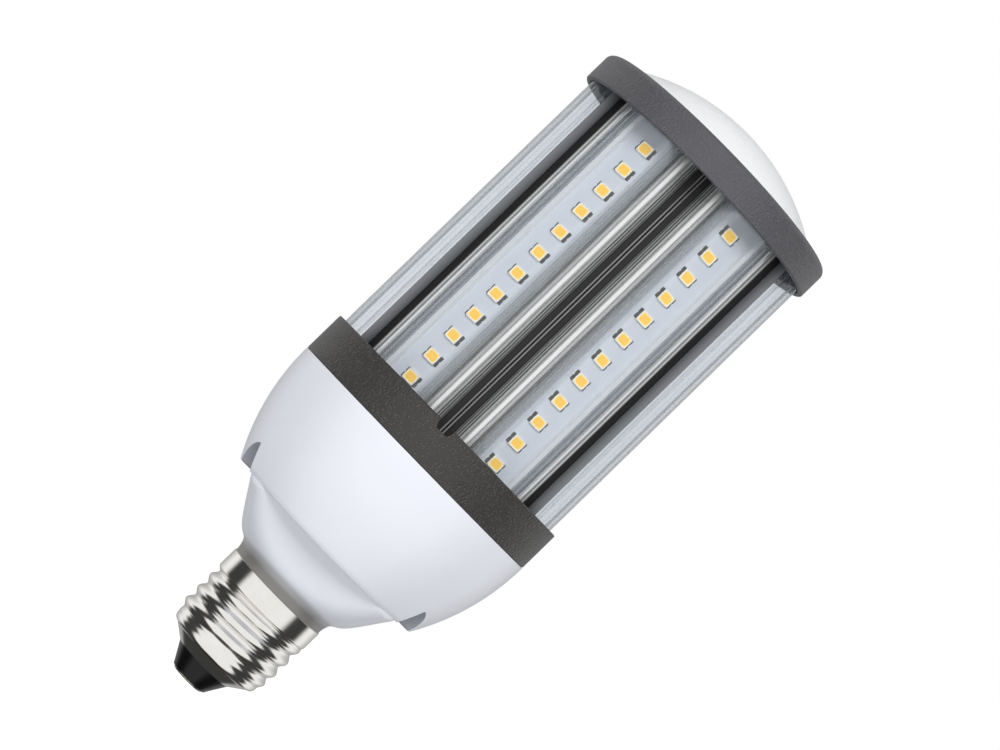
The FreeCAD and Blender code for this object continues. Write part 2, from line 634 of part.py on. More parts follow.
def heatsink_core():
    """Black six-sided tube; each corner stands out as a pair of thin fins between two panels."""
    body = new_body("heatsink_core")
    flat = P["core_apothem"]
    corner = core_corner_r
    sk = new_sketch(body, "core_outline", "XY_Plane", floor_z)
    add_loop(sk, [(0, corner), (-flat, corner / 2), (-flat, -corner / 2), (0, -corner), (flat, -corner / 2),
                  (flat, corner / 2)])
    add_circle(sk, 0, 0, core_bore_r)
    pad(body, sk, "core_tube", panel_len)
    gaps = new_sketch(body, "core_fin_gaps", "XY_Plane", floor_z)
    fin_in = P["fin_gap"] / 2
    fin_out = fin_in + P["fin_thick"]
    rail_corner = flat / 2 - rail_half * COS30
    space_out = rail_corner - P["fin_rail_gap"]
    root = corner - P["fin_deep"]
    over = corner + P["fin_deep"]
    add_box(gaps, fin_out, root, space_out, over)
    add_box(gaps, -fin_in, corner - P["fin_gap_deep"], fin_in, over)
    add_box(gaps, -space_out, root, -fin_out, over)
    polar(body, "core_fins_round", [pocket(body, gaps, "core_fins", reverse=True)], PANEL_COUNT)
    screw_holes(body, "core_screw_bore", floor_z, panel_len, P["screw_r"], reverse=True)


def turn_to_panel(body, index):
    """Panel 1 is left of the front gap, panel 2 right of it, and so on round."""
    angle = FIRST_PANEL_TURN + 360.0 / PANEL_COUNT * (index - 1)
    body.Placement = FreeCAD.Placement(V(0, 0, 0), FreeCAD.Rotation(V(0, 0, 1), angle))


def panel_rail(index):
    """Silver extrusion: fine ribs beside the core, then a bright bead and a dark slot, with a seat for the LED board."""
    body = new_body("panel_rail_%d" % index)
    turn_to_panel(body, index)
    sk = new_sketch(body, "rail_%d_section" % index, "XY_Plane", floor_z)
    groove_w = rail_half - P["rib_deep"]
    slope = P["rib_wide"] / 3
    lip_w = board_half - P["board_lap"]
    right = [(rail_half, P["core_apothem"])]
    for rib in range(RIB_COUNT):
        low = P["core_apothem"] + P["rib_first"] + P["rib_pitch"] * rib
        right += [(rail_half, low), (groove_w, low + slope), (groove_w, low + slope * 2),
                  (rail_half, low + P["rib_wide"])]
    bead_w = rail_half - P["rail_bulge"]
    slot_w = board_half + P["slot_wall"]
    right.append((rail_half, rail_band_d))
    bead = len(right)
    right += [(bead_w, rail_band_d), (bead_w, slot_low_d), (slot_w, slot_low_d), (slot_w, slot_top_d),
              (flank_half, slot_top_d), (flank_half, rail_top_d), (lip_w, rail_top_d), (lip_w, board_front_d),
              (board_half, board_front_d), (board_half, board_back_d)]
    left = [(-w, d) for w, d in reversed(right)]
    left_bead = 2 * len(right) - 2 - bead
    bulge = (arc_from_rise(P["rail_bead"] / 2, P["rail_bulge"]), True)
    add_loop(sk, right + left, {bead: bulge, left_bead: bulge})
    hollow_w = board_half - P["rail_hollow_in"]
    add_box(sk, -hollow_w, P["core_apothem"] + P["rail_back"], hollow_w, board_back_d - P["rail_web"])
    pad(body, sk, "rail_%d_bar" % index, panel_len)


def led_board(index):
    body = new_body("led_board_%d" % index)
    turn_to_panel(body, index)
    sk = new_sketch(body, "board_%d_section" % index, "XY_Plane", floor_z + P["board_short"])
    add_box(sk, -board_half, board_back_d, board_half, board_front_d)
    pad(body, sk, "board_%d_strip" % index, panel_len - P["board_short"] * 2)


def led_row(index):
    """White LED packages with a shallow cup each, and the emitters that fill the cups."""
    first_z = ring_top_z + P["led_low_margin"]
    half_w = P["led_wide"] / 2
    half_t = P["led_tall"] / 2
    emit_w = half_w - P["emit_rim_side"]
    emit_t = half_t - P["emit_rim_end"]
    face = -(board_front_d + P["led_thick"])
    span = led_pitch * (LED_COUNT - 1)

    body = new_body("led_packages_%d" % index)
    turn_to_panel(body, index)
    sk = new_sketch(body, "package_%d_outline" % index, "XZ_Plane", face)
    add_box(sk, -half_w, first_z - half_t, half_w, first_z + half_t)
    package = pad(body, sk, "package_%d" % index, P["led_thick"])
    sk = new_sketch(body, "package_%d_window" % index, "XZ_Plane", face)
    add_box(sk, -emit_w, first_z - emit_t, emit_w, first_z + emit_t)
    cup = pocket(body, sk, "package_%d_cup" % index, length=P["emit_deep"], reverse=True)
    stack(body, "package_%d_row" % index, [package, cup], span, LED_COUNT)

    body = new_body("led_emitters_%d" % index)
    turn_to_panel(body, index)
    sk = new_sketch(body, "emitter_%d_outline" % index, "XZ_Plane", face)
    add_box(sk, -emit_w, first_z - emit_t, emit_w, first_z + emit_t)
    emitter = pad(body, sk, "emitter_%d" % index, P["emit_deep"])
    stack(body, "emitter_%d_row" % index, [emitter], span, LED_COUNT)


def panel_cover(index):
    """Clear channel over the LEDs, with rounded front corners and a fine groove along each side."""
    body = new_body("panel_cover_%d" % index)
    turn_to_panel(body, index)
    sk = new_sketch(body, "cover_%d_section" % index, "XY_Plane", floor_z)
    half = P["cover_half"]
    soft = P["cover_round"]
    wall = P["cover_wall"]
    groove_d = (rail_top_d + corner_d) / 2
    groove_half = P["cover_groove_wide"] / 2
    outside = [(half, rail_top_d), (half, groove_d - groove_half), (half - P["cover_groove_deep"], groove_d),
               (half, groove_d + groove_half), (half, corner_d), (corner_w, cover_front_d)]
    inside = [(corner_w, cover_front_d - wall), (half - wall, corner_d), (half - wall, rail_top_d)]
    points = outside + [(-w, d) for w, d in reversed(outside)]
    points += [(-w, d) for w, d in reversed(inside)] + inside
    add_loop(sk, points, {4: (soft, True), 6: (soft, True), 13: (soft - wall, False), 15: (soft - wall, False)})
    pad(body, sk, "cover_%d_channel" % index, panel_len)


def top_cap():
    """Dark inverted cup over the panels, with a groove for the dome's foot."""
    body = new_body("top_cap")
    foot_in_r = dome_r - P["dome_wall"]
    foot_z = cap_top_z - P["dome_foot"]
    edge = P["ring_edge"]
    soft = P["cap_round"]
    revolve(body, "cap_turned", [
        (0, cap_plate_z), (wall_in_r, cap_plate_z), (wall_in_r, cap_low_z), (ring_r - edge, cap_low_z),
        (ring_r, cap_low_z + edge), (ring_r, cap_top_z - soft), (ring_r - soft, cap_top_z), (dome_r, cap_top_z),
        (dome_r, foot_z), (foot_in_r, foot_z), (foot_in_r, cap_top_z), (0, cap_top_z)], {5: (soft, True)})
    screw_holes(body, "cap_screw_hole", cap_top_z, P["cap_plate"], P["screw_r"] + P["screw_gap"])


def top_dome():
    foot_in_r = dome_r - P["dome_wall"]
    foot_z = cap_top_z - P["dome_foot"]
    inner_rise = P["dome_rise"] - P["dome_wall"]
    revolve(new_body("top_dome"), "dome_turned", [
        (foot_in_r, foot_z), (dome_r, foot_z), (dome_r, cap_top_z), (0, dome_top_z),
        (0, dome_top_z - P["dome_wall"]), (foot_in_r, cap_top_z)],
        {2: (arc_from_rise(dome_r, P["dome_rise"]), True), 4: (arc_from_rise(foot_in_r, inner_rise), False)})


def screw_set(name, seat_z, up):
    """Screws into the core's bores; up tells which way the shanks point."""
    body = new_body(name)
    sk = new_sketch(body, name + "_shank", "XY_Plane", seat_z)
    add_circle(sk, 0, screw_circle_r, P["screw_r"])
    shank = pad(body, sk, name + "_rod", P["screw_len"], reverse=not up)
    doc.recompute()
    sk = new_sketch(body, name + "_head", "XY_Plane", seat_z)
    add_circle(sk, 0, screw_circle_r, P["screw_head_r"])
    head = pad(body, sk, name + "_disc", P["screw_head"], reverse=up)
    polar(body, name + "_round", [shank, head], SCREW_COUNT)


centre_contact()
base_insulator()
screw_shell()
driver_housing()
driver_board()
driver_parts()
leads()
lower_ring()
heatsink_core()
for panel in range(1, PANEL_COUNT + 1):
    panel_rail(panel)
    led_board(panel)
    led_row(panel)
    panel_cover(panel)
top_cap()
top_dome()
screw_set("ring_screws", ring_low_z, True)
screw_set("cap_screws", cap_top_z, False)
doc.recompute()

faults = [obj.Name for obj in doc.Objects if "Invalid" in obj.State or "Error" in obj.State]
for body in bodies:
    if body.Shape.isNull() or not body.Shape.isValid() or not body.Shape.Solids:
        faults.append(body.Label)
if faults:
    raise RuntimeError("not sound: " + ", ".join(faults))
os.makedirs("parts", exist_ok=True)
for body in bodies:
    body.Shape.exportStep("parts/%s.step" % body.Label)
    print("%-20s solids %2d  volume %9.1f" % (body.Label, len(body.Shape.Solids), body.Shape.Volume))
print("nodes", len(bodies))
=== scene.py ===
"""Looks of the corn LED bulb: its finishes, the fine pieces on its LED strips, the stage, the light
and the camera.

The bulb stands on its axis, Z, with the screw cap down and the gap between two panels towards -Y.
Lengths are metres; the screw shell and the housing are worked out in millimetres.
"""
import json
import math

import bpy
import numpy as np
from mathutils import Matrix, Vector


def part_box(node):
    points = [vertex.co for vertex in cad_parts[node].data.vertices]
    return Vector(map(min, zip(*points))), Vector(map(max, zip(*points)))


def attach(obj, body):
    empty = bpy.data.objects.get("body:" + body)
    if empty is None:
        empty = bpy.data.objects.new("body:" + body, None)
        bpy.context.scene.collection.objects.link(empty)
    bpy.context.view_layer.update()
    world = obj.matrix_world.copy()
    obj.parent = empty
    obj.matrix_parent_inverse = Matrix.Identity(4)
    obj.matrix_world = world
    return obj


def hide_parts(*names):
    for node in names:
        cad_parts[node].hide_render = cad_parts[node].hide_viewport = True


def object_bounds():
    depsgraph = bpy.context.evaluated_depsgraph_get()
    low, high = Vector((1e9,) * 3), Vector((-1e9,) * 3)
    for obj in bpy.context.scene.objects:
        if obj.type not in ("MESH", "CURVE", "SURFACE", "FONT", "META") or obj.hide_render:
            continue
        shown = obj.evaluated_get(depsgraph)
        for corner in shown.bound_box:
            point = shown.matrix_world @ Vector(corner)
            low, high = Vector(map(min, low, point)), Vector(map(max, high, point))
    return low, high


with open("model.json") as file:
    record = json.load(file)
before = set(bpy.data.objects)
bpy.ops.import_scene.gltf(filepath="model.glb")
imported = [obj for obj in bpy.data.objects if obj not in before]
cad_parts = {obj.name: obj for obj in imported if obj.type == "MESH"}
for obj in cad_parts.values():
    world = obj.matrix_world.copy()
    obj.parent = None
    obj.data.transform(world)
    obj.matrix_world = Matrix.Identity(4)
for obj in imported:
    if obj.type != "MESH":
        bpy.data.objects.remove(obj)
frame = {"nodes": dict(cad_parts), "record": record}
cad_low, cad_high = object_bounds()

MM = 0.001
PANELS = range(1, 7)
LED_COUNT = 12
SHARP_EDGE = math.radians(38)


def linear(code):
    """sRGB hex to linear colour with full alpha."""
    parts = [int(code[i:i + 2], 16) / 255.0 for i in (1, 3, 5)]
    return [c / 12.92 if c <= 0.04045 else ((c + 0.055) / 1.055) ** 2.4 for c in parts] + [1.0]


def connect(tree, made, inputs):
    """Sets a node's inputs, by name or number, from values, sockets or nodes; a node stands for its
    first output in use."""
    for key, value in inputs.items():
        if isinstance(value, bpy.types.Node):
            value = next(socket for socket in value.outputs if socket.enabled)
        if isinstance(value, bpy.types.NodeSocket):
            tree.links.new(value, made.inputs[key])
        else:
            made.inputs[key].default_value = value


def node(tree, kind, inputs=None, **settings):
    """Adds one node: settings are its properties, and its inputs are connected."""
    made = tree.nodes.new(kind)
    for name, value in settings.items():
        setattr(made, name, value)
    connect(tree, made, inputs or {})
    return made


def per_mm(size_mm):
    """Pattern scale that gives features of this size in millimetres."""
    return 1.0 / (size_mm * MM)


def new_finish(name, **sockets):
    """A material of one Principled shader; sockets are its fixed values, with _ for a space."""
    made = bpy.data.materials.new(name)
    made.use_nodes = True
    tree = made.node_tree
    tree.nodes.clear()
    place = node(tree, "ShaderNodeTexCoord").outputs["Object"]
    fixed = {key.replace("_", " "): value for key, value in sockets.items()}
    shader = node(tree, "ShaderNodeBsdfPrincipled", fixed)
    node(tree, "ShaderNodeOutputMaterial", {"Surface": shader})
    return made, tree, place, shader


def show(tree, mixed):
    """Puts a mix of shaders in the place of the single one."""
    output = next(n for n in tree.nodes if n.type == "OUTPUT_MATERIAL")
    connect(tree, output, {"Surface": mixed})


def moulded_polycarbonate():
    """Housing: white polycarbonate from a polished mould. The eye sees a soft sheen and a faint flow
    mottle."""
    made, tree, place, shader = new_finish("moulded polycarbonate white", IOR=1.585,
                                           Coat_Weight=0.15, Coat_Roughness=0.12)
    mottle = node(tree, "ShaderNodeTexNoise", {"Vector": place, "Scale": per_mm(14.0), "Detail": 2.0})
    clean = node(tree, "ShaderNodeMix", {0: mottle, 6: linear("#e8ebf4"), 7: linear("#eef0f8")},
                 data_type="RGBA")
    # The foot of the neck is painted darker as shade beside the metal collar, from 32.4 mm down to 29.2 mm.
    height = node(tree, "ShaderNodeSeparateXYZ", {0: place}).outputs["Z"]
    neck_shade = node(tree, "ShaderNodeMapRange",
                  {"Value": height, "From Min": 32.4 * MM, "From Max": 29.2 * MM},
                  interpolation_type="SMOOTHSTEP")
    foot = node(tree, "ShaderNodeMix", {0: neck_shade, 6: clean, 7: linear("#7d7b77")}, data_type="RGBA")
    # The side notches are marked on the mesh and drawn grey: they lie in a deeper shade than the
    # soft light gives.
    notch = node(tree, "ShaderNodeAttribute", attribute_name="mark").outputs["Fac"]
    colour = node(tree, "ShaderNodeMix", {0: notch, 6: foot, 7: linear("#acaeb9")}, data_type="RGBA")
    skin = node(tree, "ShaderNodeTexNoise", {"Vector": place, "Scale": per_mm(0.35), "Detail": 2.0})
    gloss = node(tree, "ShaderNodeMapRange", {"Value": skin, "To Min": 0.30, "To Max": 0.42})
    bump = node(tree, "ShaderNodeBump", {"Height": skin, "Strength": 0.12, "Distance": 0.02 * MM})
    connect(tree, shader, {"Base Color": colour, "Roughness": gloss, "Normal": bump})
    return made


def grained_nylon(name, dark, light):
    """Ring and cap: glass-filled nylon from a spark-eroded mould. A fine grain breaks the highlight
    into specks, and pale specks are painted all over, as fibre ends and as painted glints."""
    made, tree, place, shader = new_finish(name, IOR=1.53)
    # The real grit is about 0.15 mm; it is drawn at 0.55 mm so that it shows.
    grit = node(tree, "ShaderNodeTexVoronoi", {"Vector": place, "Scale": per_mm(0.55)})
    fine = node(tree, "ShaderNodeTexNoise", {"Vector": place, "Scale": per_mm(0.4), "Detail": 3.0})
    height = node(tree, "ShaderNodeMath", {0: grit, 1: fine}, operation="ADD")
    bump = node(tree, "ShaderNodeBump", {"Height": height, "Strength": 0.9, "Distance": 0.17 * MM})
    cloud = node(tree, "ShaderNodeTexNoise", {"Vector": place, "Scale": per_mm(9.0), "Detail": 3.0})
    tone = node(tree, "ShaderNodeMath", {0: cloud, 1: grit}, operation="MULTIPLY")
    body = node(tree, "ShaderNodeMix", {0: tone, 6: linear(dark), 7: linear(light)}, data_type="RGBA")
    # Pale specks at the grit's cell centres: fibre ends, and painted glints of the grain.
    ends = node(tree, "ShaderNodeMapRange", {"Value": grit, "From Min": 0.24, "From Max": 0.08})
    fibre_and_glint_specks = node(tree, "ShaderNodeMath", {0: ends, 1: 0.55}, operation="MULTIPLY")
    colour = node(tree, "ShaderNodeMix", {0: fibre_and_glint_specks, 6: body, 7: linear("#8b8b8c")}, data_type="RGBA")
    gloss = node(tree, "ShaderNodeMapRange", {"Value": fine, "To Min": 0.28, "To Max": 0.5})
    connect(tree, shader, {"Base Color": colour, "Roughness": gloss, "Normal": bump})
    return made


def plated_nickel():
    """Screw shell: brass sheet rolled and plated with bright nickel. A mirror with faint drawn lines
    round it."""
    made, tree, place, shader = new_finish("rolled sheet bright nickel", Metallic=1.0)
    drawn = (per_mm(6.0), per_mm(6.0), per_mm(0.12))
    around = node(tree, "ShaderNodeMapping", {"Vector": place, "Scale": drawn})
    lines = node(tree, "ShaderNodeTexNoise", {"Vector": around, "Scale": 1.0, "Detail": 3.0})
    haze = node(tree, "ShaderNodeTexNoise", {"Vector": place, "Scale": per_mm(3.0), "Detail": 2.0})
    gloss = node(tree, "ShaderNodeMapRange", {"Value": haze, "To Min": 0.10, "To Max": 0.18})
    bump = node(tree, "ShaderNodeBump", {"Height": lines, "Strength": 0.04, "Distance": 0.02 * MM})
    colour = node(tree, "ShaderNodeMix", {0: haze, 6: linear("#e3e1dc"), 7: linear("#f0efec")},
                  data_type="RGBA")
    connect(tree, shader, {"Base Color": colour, "Roughness": gloss, "Normal": bump})
    return made


def pressed_glass_black():
    """Insulator: black glass pressed into the cap. Near black, glossy, with soft waves from the press."""
    made, tree, place, shader = new_finish("pressed black glass", IOR=1.52, Specular_IOR_Level=0.3)
    wave = node(tree, "ShaderNodeTexNoise", {"Vector": place, "Scale": per_mm(1.8), "Detail": 2.0})
    speck = node(tree, "ShaderNodeTexNoise", {"Vector": place, "Scale": per_mm(0.3), "Detail": 2.0})
    bump = node(tree, "ShaderNodeBump", {"Height": wave, "Strength": 0.2, "Distance": 0.08 * MM})
    colour = node(tree, "ShaderNodeMix", {0: speck, 6: linear("#050506"), 7: linear("#0e0e0f")},
                  data_type="RGBA")
    gloss = node(tree, "ShaderNodeMapRange", {"Value": speck, "To Min": 0.22, "To Max": 0.36})
    connect(tree, shader, {"Base Color": colour, "Roughness": gloss, "Normal": bump})
    return made


def panel_distance(tree, place):
    """Distance from the axis, and the same outwards and across on the nearest panel: one faces every
    60 degrees."""
    axes = node(tree, "ShaderNodeSeparateXYZ", {0: place}).outputs
    flat = node(tree, "ShaderNodeCombineXYZ", {0: axes["X"], 1: axes["Y"]})
    radius = node(tree, "ShaderNodeVectorMath", {0: flat}, operation="LENGTH")
    angle = node(tree, "ShaderNodeMath", {0: axes["Y"], 1: axes["X"]}, operation="ARCTAN2")
    sixths = node(tree, "ShaderNodeMath", {0: angle, 1: 3.0 / math.pi}, operation="MULTIPLY")
    nearest = node(tree, "ShaderNodeMath", {0: sixths}, operation="ROUND")
    beside = node(tree, "ShaderNodeMath", {0: sixths, 1: nearest}, operation="SUBTRACT")
    turn = node(tree, "ShaderNodeMath", {0: beside, 1: math.pi / 3.0}, operation="MULTIPLY")
    ahead = node(tree, "ShaderNodeMath", {0: turn}, operation="COSINE")
    aside = node(tree, "ShaderNodeMath", {0: turn}, operation="SINE")
    out = node(tree, "ShaderNodeMath", {0: radius, 1: ahead}, operation="MULTIPLY")
    across = node(tree, "ShaderNodeMath", {0: radius, 1: aside}, operation="MULTIPLY")
    return radius, out, node(tree, "ShaderNodeMath", {0: across}, operation="ABSOLUTE")


def die_lines(tree, place):
    """Fine lines along Z that the die draws on an extrusion, 0.25 mm apart, drawn coarser than real
    to show."""
    drawn = (per_mm(0.25), per_mm(0.25), per_mm(120.0))
    along = node(tree, "ShaderNodeMapping", {"Vector": place, "Scale": drawn})
    return node(tree, "ShaderNodeTexNoise", {"Vector": along, "Scale": 1.0, "Detail": 3.0})


# Shades of the rails' section by distance from the axis in mm: ribbed band, round bead, the slot
# # painted black as shade, then the flank painted from dark to mid grey as shade.
RAIL_SHADES = (
    (17.80, "#b0b1b2"), (17.84, "#2a2a2b"), (18.28, "#2a2a2b"), (18.32, "#dcdddd"), (18.88, "#dcdddd"),
    (18.92, "#2a2a2b"), (19.38, "#2a2a2b"), (19.42, "#e6e7e7"), (19.98, "#e6e7e7"), (20.02, "#2a2a2b"),
    (20.48, "#2a2a2b"), (20.52, "#dcdddd"), (20.72, "#dcdddd"), (20.80, "#f2f3f3"), (23.15, "#f2f3f3"),
    (23.65, "#303031"), (25.06, "#303031"), (25.14, "#5c5e60"), (27.00, "#8c8e91"))
RAIL_FROM, RAIL_TO = 17.5, 27.5
# Where the rails' parts lie in mm: outwards from the axis, and for the lips over the board also
# across from the panel's middle.
RIBS_FADE = (20.7, 20.9)
BEAD_MIDDLE, BEAD_HALF = 21.95, 1.2
SLOT_FROM = 23.4
LIP_FROM, LIP_HALF = 25.3, 6.9


def bright_cut_aluminium():
    """Rails: aluminium extruded, lacquered black, then cut bright where tools reach. The bead shines,
    the flat faces are brushed grey, the slot is painted black as shade, which shows face on, and the
    flank is painted from dark to mid grey as shade; on both a lacquer shines at a slant."""
    made, tree, place, shader = new_finish("extruded aluminium bright cut")
    _, out, across = panel_distance(tree, place)
    lines = die_lines(tree, place)
    bead = node(tree, "ShaderNodeMath", {0: out, 1: BEAD_MIDDLE * MM, 2: BEAD_HALF * MM},
                operation="COMPARE")
    level = node(tree, "ShaderNodeMapRange",
                 {"Value": out, "From Min": RAIL_FROM * MM, "From Max": RAIL_TO * MM})
    # The ramp paints the slot black and the flank dark to mid grey, as shade.
    ramp = node(tree, "ShaderNodeValToRGB", {"Fac": level})
    stops = ramp.color_ramp.elements
    stops.remove(stops[1])
    stops[0].color = linear(RAIL_SHADES[0][1])
    for distance, code in RAIL_SHADES:
        stops.new((distance - RAIL_FROM) / (RAIL_TO - RAIL_FROM)).color = linear(code)
    inner = node(tree, "ShaderNodeMath", {0: across, 1: LIP_HALF * MM}, operation="LESS_THAN")
    over = node(tree, "ShaderNodeMath", {0: out, 1: LIP_FROM * MM}, operation="GREATER_THAN")
    lip = node(tree, "ShaderNodeMath", {0: inner, 1: over}, operation="MULTIPLY")
    bare = node(tree, "ShaderNodeMix", {0: lip, 6: ramp, 7: linear("#f6f7f7")}, data_type="RGBA")
    worn = node(tree, "ShaderNodeMapRange", {"Value": lines, "To Min": 0.8, "To Max": 1.12})
    colour = node(tree, "ShaderNodeVectorMath", {0: bare, "Scale": worn}, operation="SCALE")
    # The ribs and lips are brushed so fine that they scatter like a pale paint, the bead less so.
    ribs = node(tree, "ShaderNodeMapRange",
                {"Value": out, "From Min": RIBS_FADE[0] * MM, "From Max": RIBS_FADE[1] * MM, "To Min": 0.45})
    rounded = node(tree, "ShaderNodeMix", {0: bead, 2: ribs, 3: 0.75}, data_type="FLOAT")
    metal = node(tree, "ShaderNodeMix", {0: lip, 2: rounded, 3: 0.1}, data_type="FLOAT")
    gloss = node(tree, "ShaderNodeMapRange", {"Value": bead, "To Min": 0.42, "To Max": 0.32})
    bump = node(tree, "ShaderNodeBump", {"Height": lines, "Strength": 0.06, "Distance": 0.02 * MM})
    connect(tree, shader, {"Base Color": colour, "Metallic": metal, "Roughness": gloss, "Normal": bump})
    # Slot and flank are lacquered: a gloss that grows with the slant.
    lacquer = node(tree, "ShaderNodeBsdfPrincipled",
                   {"Base Color": linear("#e4e5e6"), "Metallic": 1.0, "Roughness": 0.42, "Normal": bump})
    facing = node(tree, "ShaderNodeLayerWeight", {"Blend": 0.5}).outputs["Facing"]
    slant = node(tree, "ShaderNodeMapRange", {"Value": facing, "From Min": 0.2, "From Max": 0.5})
    beyond = node(tree, "ShaderNodeMath", {0: out, 1: SLOT_FROM * MM}, operation="GREATER_THAN")
    side = node(tree, "ShaderNodeMath", {0: beyond, 1: lip}, operation="SUBTRACT", use_clamp=True)
    share = node(tree, "ShaderNodeMath", {0: side, 1: slant}, operation="MULTIPLY")
    show(tree, node(tree, "ShaderNodeMixShader", {0: share, 1: shader, 2: lacquer}))
    return made


def black_anodised_aluminium():
    """Core: aluminium extruded and anodised black. Dark satin with die lines, worn pale and given a
    painted highlight along the fins' thin tips."""
    made, tree, place, shader = new_finish("extruded aluminium black anodised", IOR=1.5)
    radius = panel_distance(tree, place)[0]
    lines = die_lines(tree, place)
    # The fins' tips, past 19.85 mm from the axis, are painted pale: wear, and a painted highlight.
    tip_wear_and_highlight = node(tree, "ShaderNodeMapRange",
               {"Value": radius, "From Min": 19.85 * MM, "From Max": 20.1 * MM})
    dyed = node(tree, "ShaderNodeMix", {0: lines, 6: linear("#19191a"), 7: linear("#2b2b2d")},
                data_type="RGBA")
    colour = node(tree, "ShaderNodeMix", {0: tip_wear_and_highlight, 6: dyed, 7: linear("#8b8b8a")}, data_type="RGBA")
    gloss = node(tree, "ShaderNodeMapRange", {"Value": lines, "To Min": 0.34, "To Max": 0.5})
    bump = node(tree, "ShaderNodeBump", {"Height": lines, "Strength": 0.15, "Distance": 0.02 * MM})
    connect(tree, shader, {"Base Color": colour, "Roughness": gloss, "Normal": bump})
    return made


def solder_mask_white():
    """LED boards: white solder mask screened on an aluminium strip. Satin, slightly blue, with a faint
    orange peel."""
    made, tree, place, shader = new_finish("screened white solder mask", IOR=1.5)
    peel = node(tree, "ShaderNodeTexNoise", {"Vector": place, "Scale": per_mm(0.6), "Detail": 2.0})
    cloud = node(tree, "ShaderNodeTexNoise", {"Vector": place, "Scale": per_mm(7.0), "Detail": 2.0})
    colour = node(tree, "ShaderNodeMix", {0: cloud, 6: linear("#dce1e9"), 7: linear("#e4e8ee")},
                  data_type="RGBA")
    gloss = node(tree, "ShaderNodeMapRange", {"Value": peel, "To Min": 0.30, "To Max": 0.42})
    bump = node(tree, "ShaderNodeBump", {"Height": peel, "Strength": 0.15, "Distance": 0.02 * MM})
    connect(tree, shader, {"Base Color": colour, "Roughness": gloss, "Normal": bump})
    return made


def moulded_polyamide_cup():
    """LED packages: white filled polyamide, moulded small. Matt cream white with a fine tooth."""
    made, tree, place, shader = new_finish("moulded white polyamide", IOR=1.53, Subsurface_Weight=0.1,
                                           Subsurface_Scale=0.2 * MM)
    tooth = node(tree, "ShaderNodeTexNoise", {"Vector": place, "Scale": per_mm(0.12), "Detail": 2.0})
    colour = node(tree, "ShaderNodeMix", {0: tooth, 6: linear("#fbf7ec"), 7: linear("#fffdf8")},
                  data_type="RGBA")
    gloss = node(tree, "ShaderNodeMapRange", {"Value": tooth, "To Min": 0.40, "To Max": 0.55})
    connect(tree, shader, {"Base Color": colour, "Roughness": gloss})
    return made


def phosphor_silicone():
    """LED emitters: clear silicone full of yellow phosphor powder, poured into the cup. It pales
    towards the rim, and it is given a faint painted glow of its own yellow, the same under any light."""
    made, tree, place, shader = new_finish("poured phosphor silicone", IOR=1.41, Emission_Strength=0.25)
    edge = node(tree, "ShaderNodeAttribute", attribute_name="mark").outputs["Fac"]
    powder = node(tree, "ShaderNodeTexNoise", {"Vector": place, "Scale": per_mm(0.5), "Detail": 3.0})
    yellow = node(tree, "ShaderNodeMix", {0: powder, 6: linear("#ffc03c"), 7: linear("#ffd65c")},
                  data_type="RGBA")
    fade = node(tree, "ShaderNodeMapRange", {"Value": edge, "From Min": 0.7, "From Max": 1.02},
                interpolation_type="SMOOTHSTEP")
    colour = node(tree, "ShaderNodeMix", {0: fade, 6: yellow, 7: linear("#fff2cc")}, data_type="RGBA")
    gloss = node(tree, "ShaderNodeMapRange", {"Value": powder, "To Min": 0.28, "To Max": 0.45})
    connect(tree, shader, {"Base Color": colour, "Emission Color": colour, "Roughness": gloss})
    return made


def clear_polycarbonate():
    """Covers: clear polycarbonate pulled through a die as a thin sheet. Nearly unseen face on; its
    gloss follows the angle, and its side walls are milky with fine lines along Z."""
    made, tree, place, shader = new_finish("extruded clear polycarbonate", Metallic=1.0, Roughness=0.06,
                                           Base_Color=linear("#fbfcfd"))
    pulled = (per_mm(0.5), per_mm(0.5), per_mm(150.0))
    along = node(tree, "ShaderNodeMapping", {"Vector": place, "Scale": pulled})
    lines = node(tree, "ShaderNodeTexNoise", {"Vector": along, "Scale": 1.0, "Detail": 2.0})
    bump = node(tree, "ShaderNodeBump", {"Height": lines, "Strength": 0.1, "Distance": 0.03 * MM})
    connect(tree, shader, {"Normal": bump})
    # The sheet is the same from both sides, so its gloss is worked out from the angle alone, 5 %
    # face on.
    facing = node(tree, "ShaderNodeLayerWeight", {"Blend": 0.5, "Normal": bump}).outputs["Facing"]
    steep = node(tree, "ShaderNodeMath", {0: facing, 1: 3.0}, operation="POWER")
    share = node(tree, "ShaderNodeMapRange", {"Value": steep, "To Min": 0.05, "To Max": 0.9})
    slant = node(tree, "ShaderNodeMath", {0: facing, 1: 2.0}, operation="POWER")
    drawn = node(tree, "ShaderNodeMapRange", {"Value": lines, "From Min": 0.35, "From Max": 0.65})
    lined = node(tree, "ShaderNodeMix", {0: drawn, 6: linear("#eceff2"), 7: linear("#feffff")},
                 data_type="RGBA")
    # The lines show on the side walls and round corners, from 6 mm across; the face over the LEDs is
    # clean.
    across = panel_distance(tree, place)[2]
    wall = node(tree, "ShaderNodeMapRange", {"Value": across, "From Min": 6.0 * MM, "From Max": 6.6 * MM})
    sheet = node(tree, "ShaderNodeMix", {0: wall, 6: linear("#fdfeff"), 7: lined}, data_type="RGBA")
    tint = node(tree, "ShaderNodeMix", {0: slant, 6: sheet, 7: linear("#c9ced4")}, data_type="RGBA")
    passing = node(tree, "ShaderNodeBsdfTransparent", {"Color": tint})
    milky = node(tree, "ShaderNodeBsdfDiffuse", {"Color": linear("#c6cacf")})
    # Light that crosses a wall at a slant goes a longer way through it and scatters more.
    scatter = node(tree, "ShaderNodeMapRange",
                   {"Value": facing, "From Max": 0.7, "To Min": 0.1, "To Max": 0.6})
    haze = node(tree, "ShaderNodeMath", {0: wall, 1: scatter}, operation="MULTIPLY")
    body = node(tree, "ShaderNodeMixShader", {0: haze, 1: passing, 2: milky})
    show(tree, node(tree, "ShaderNodeMixShader", {0: share, 1: body, 2: shader}))
    return made


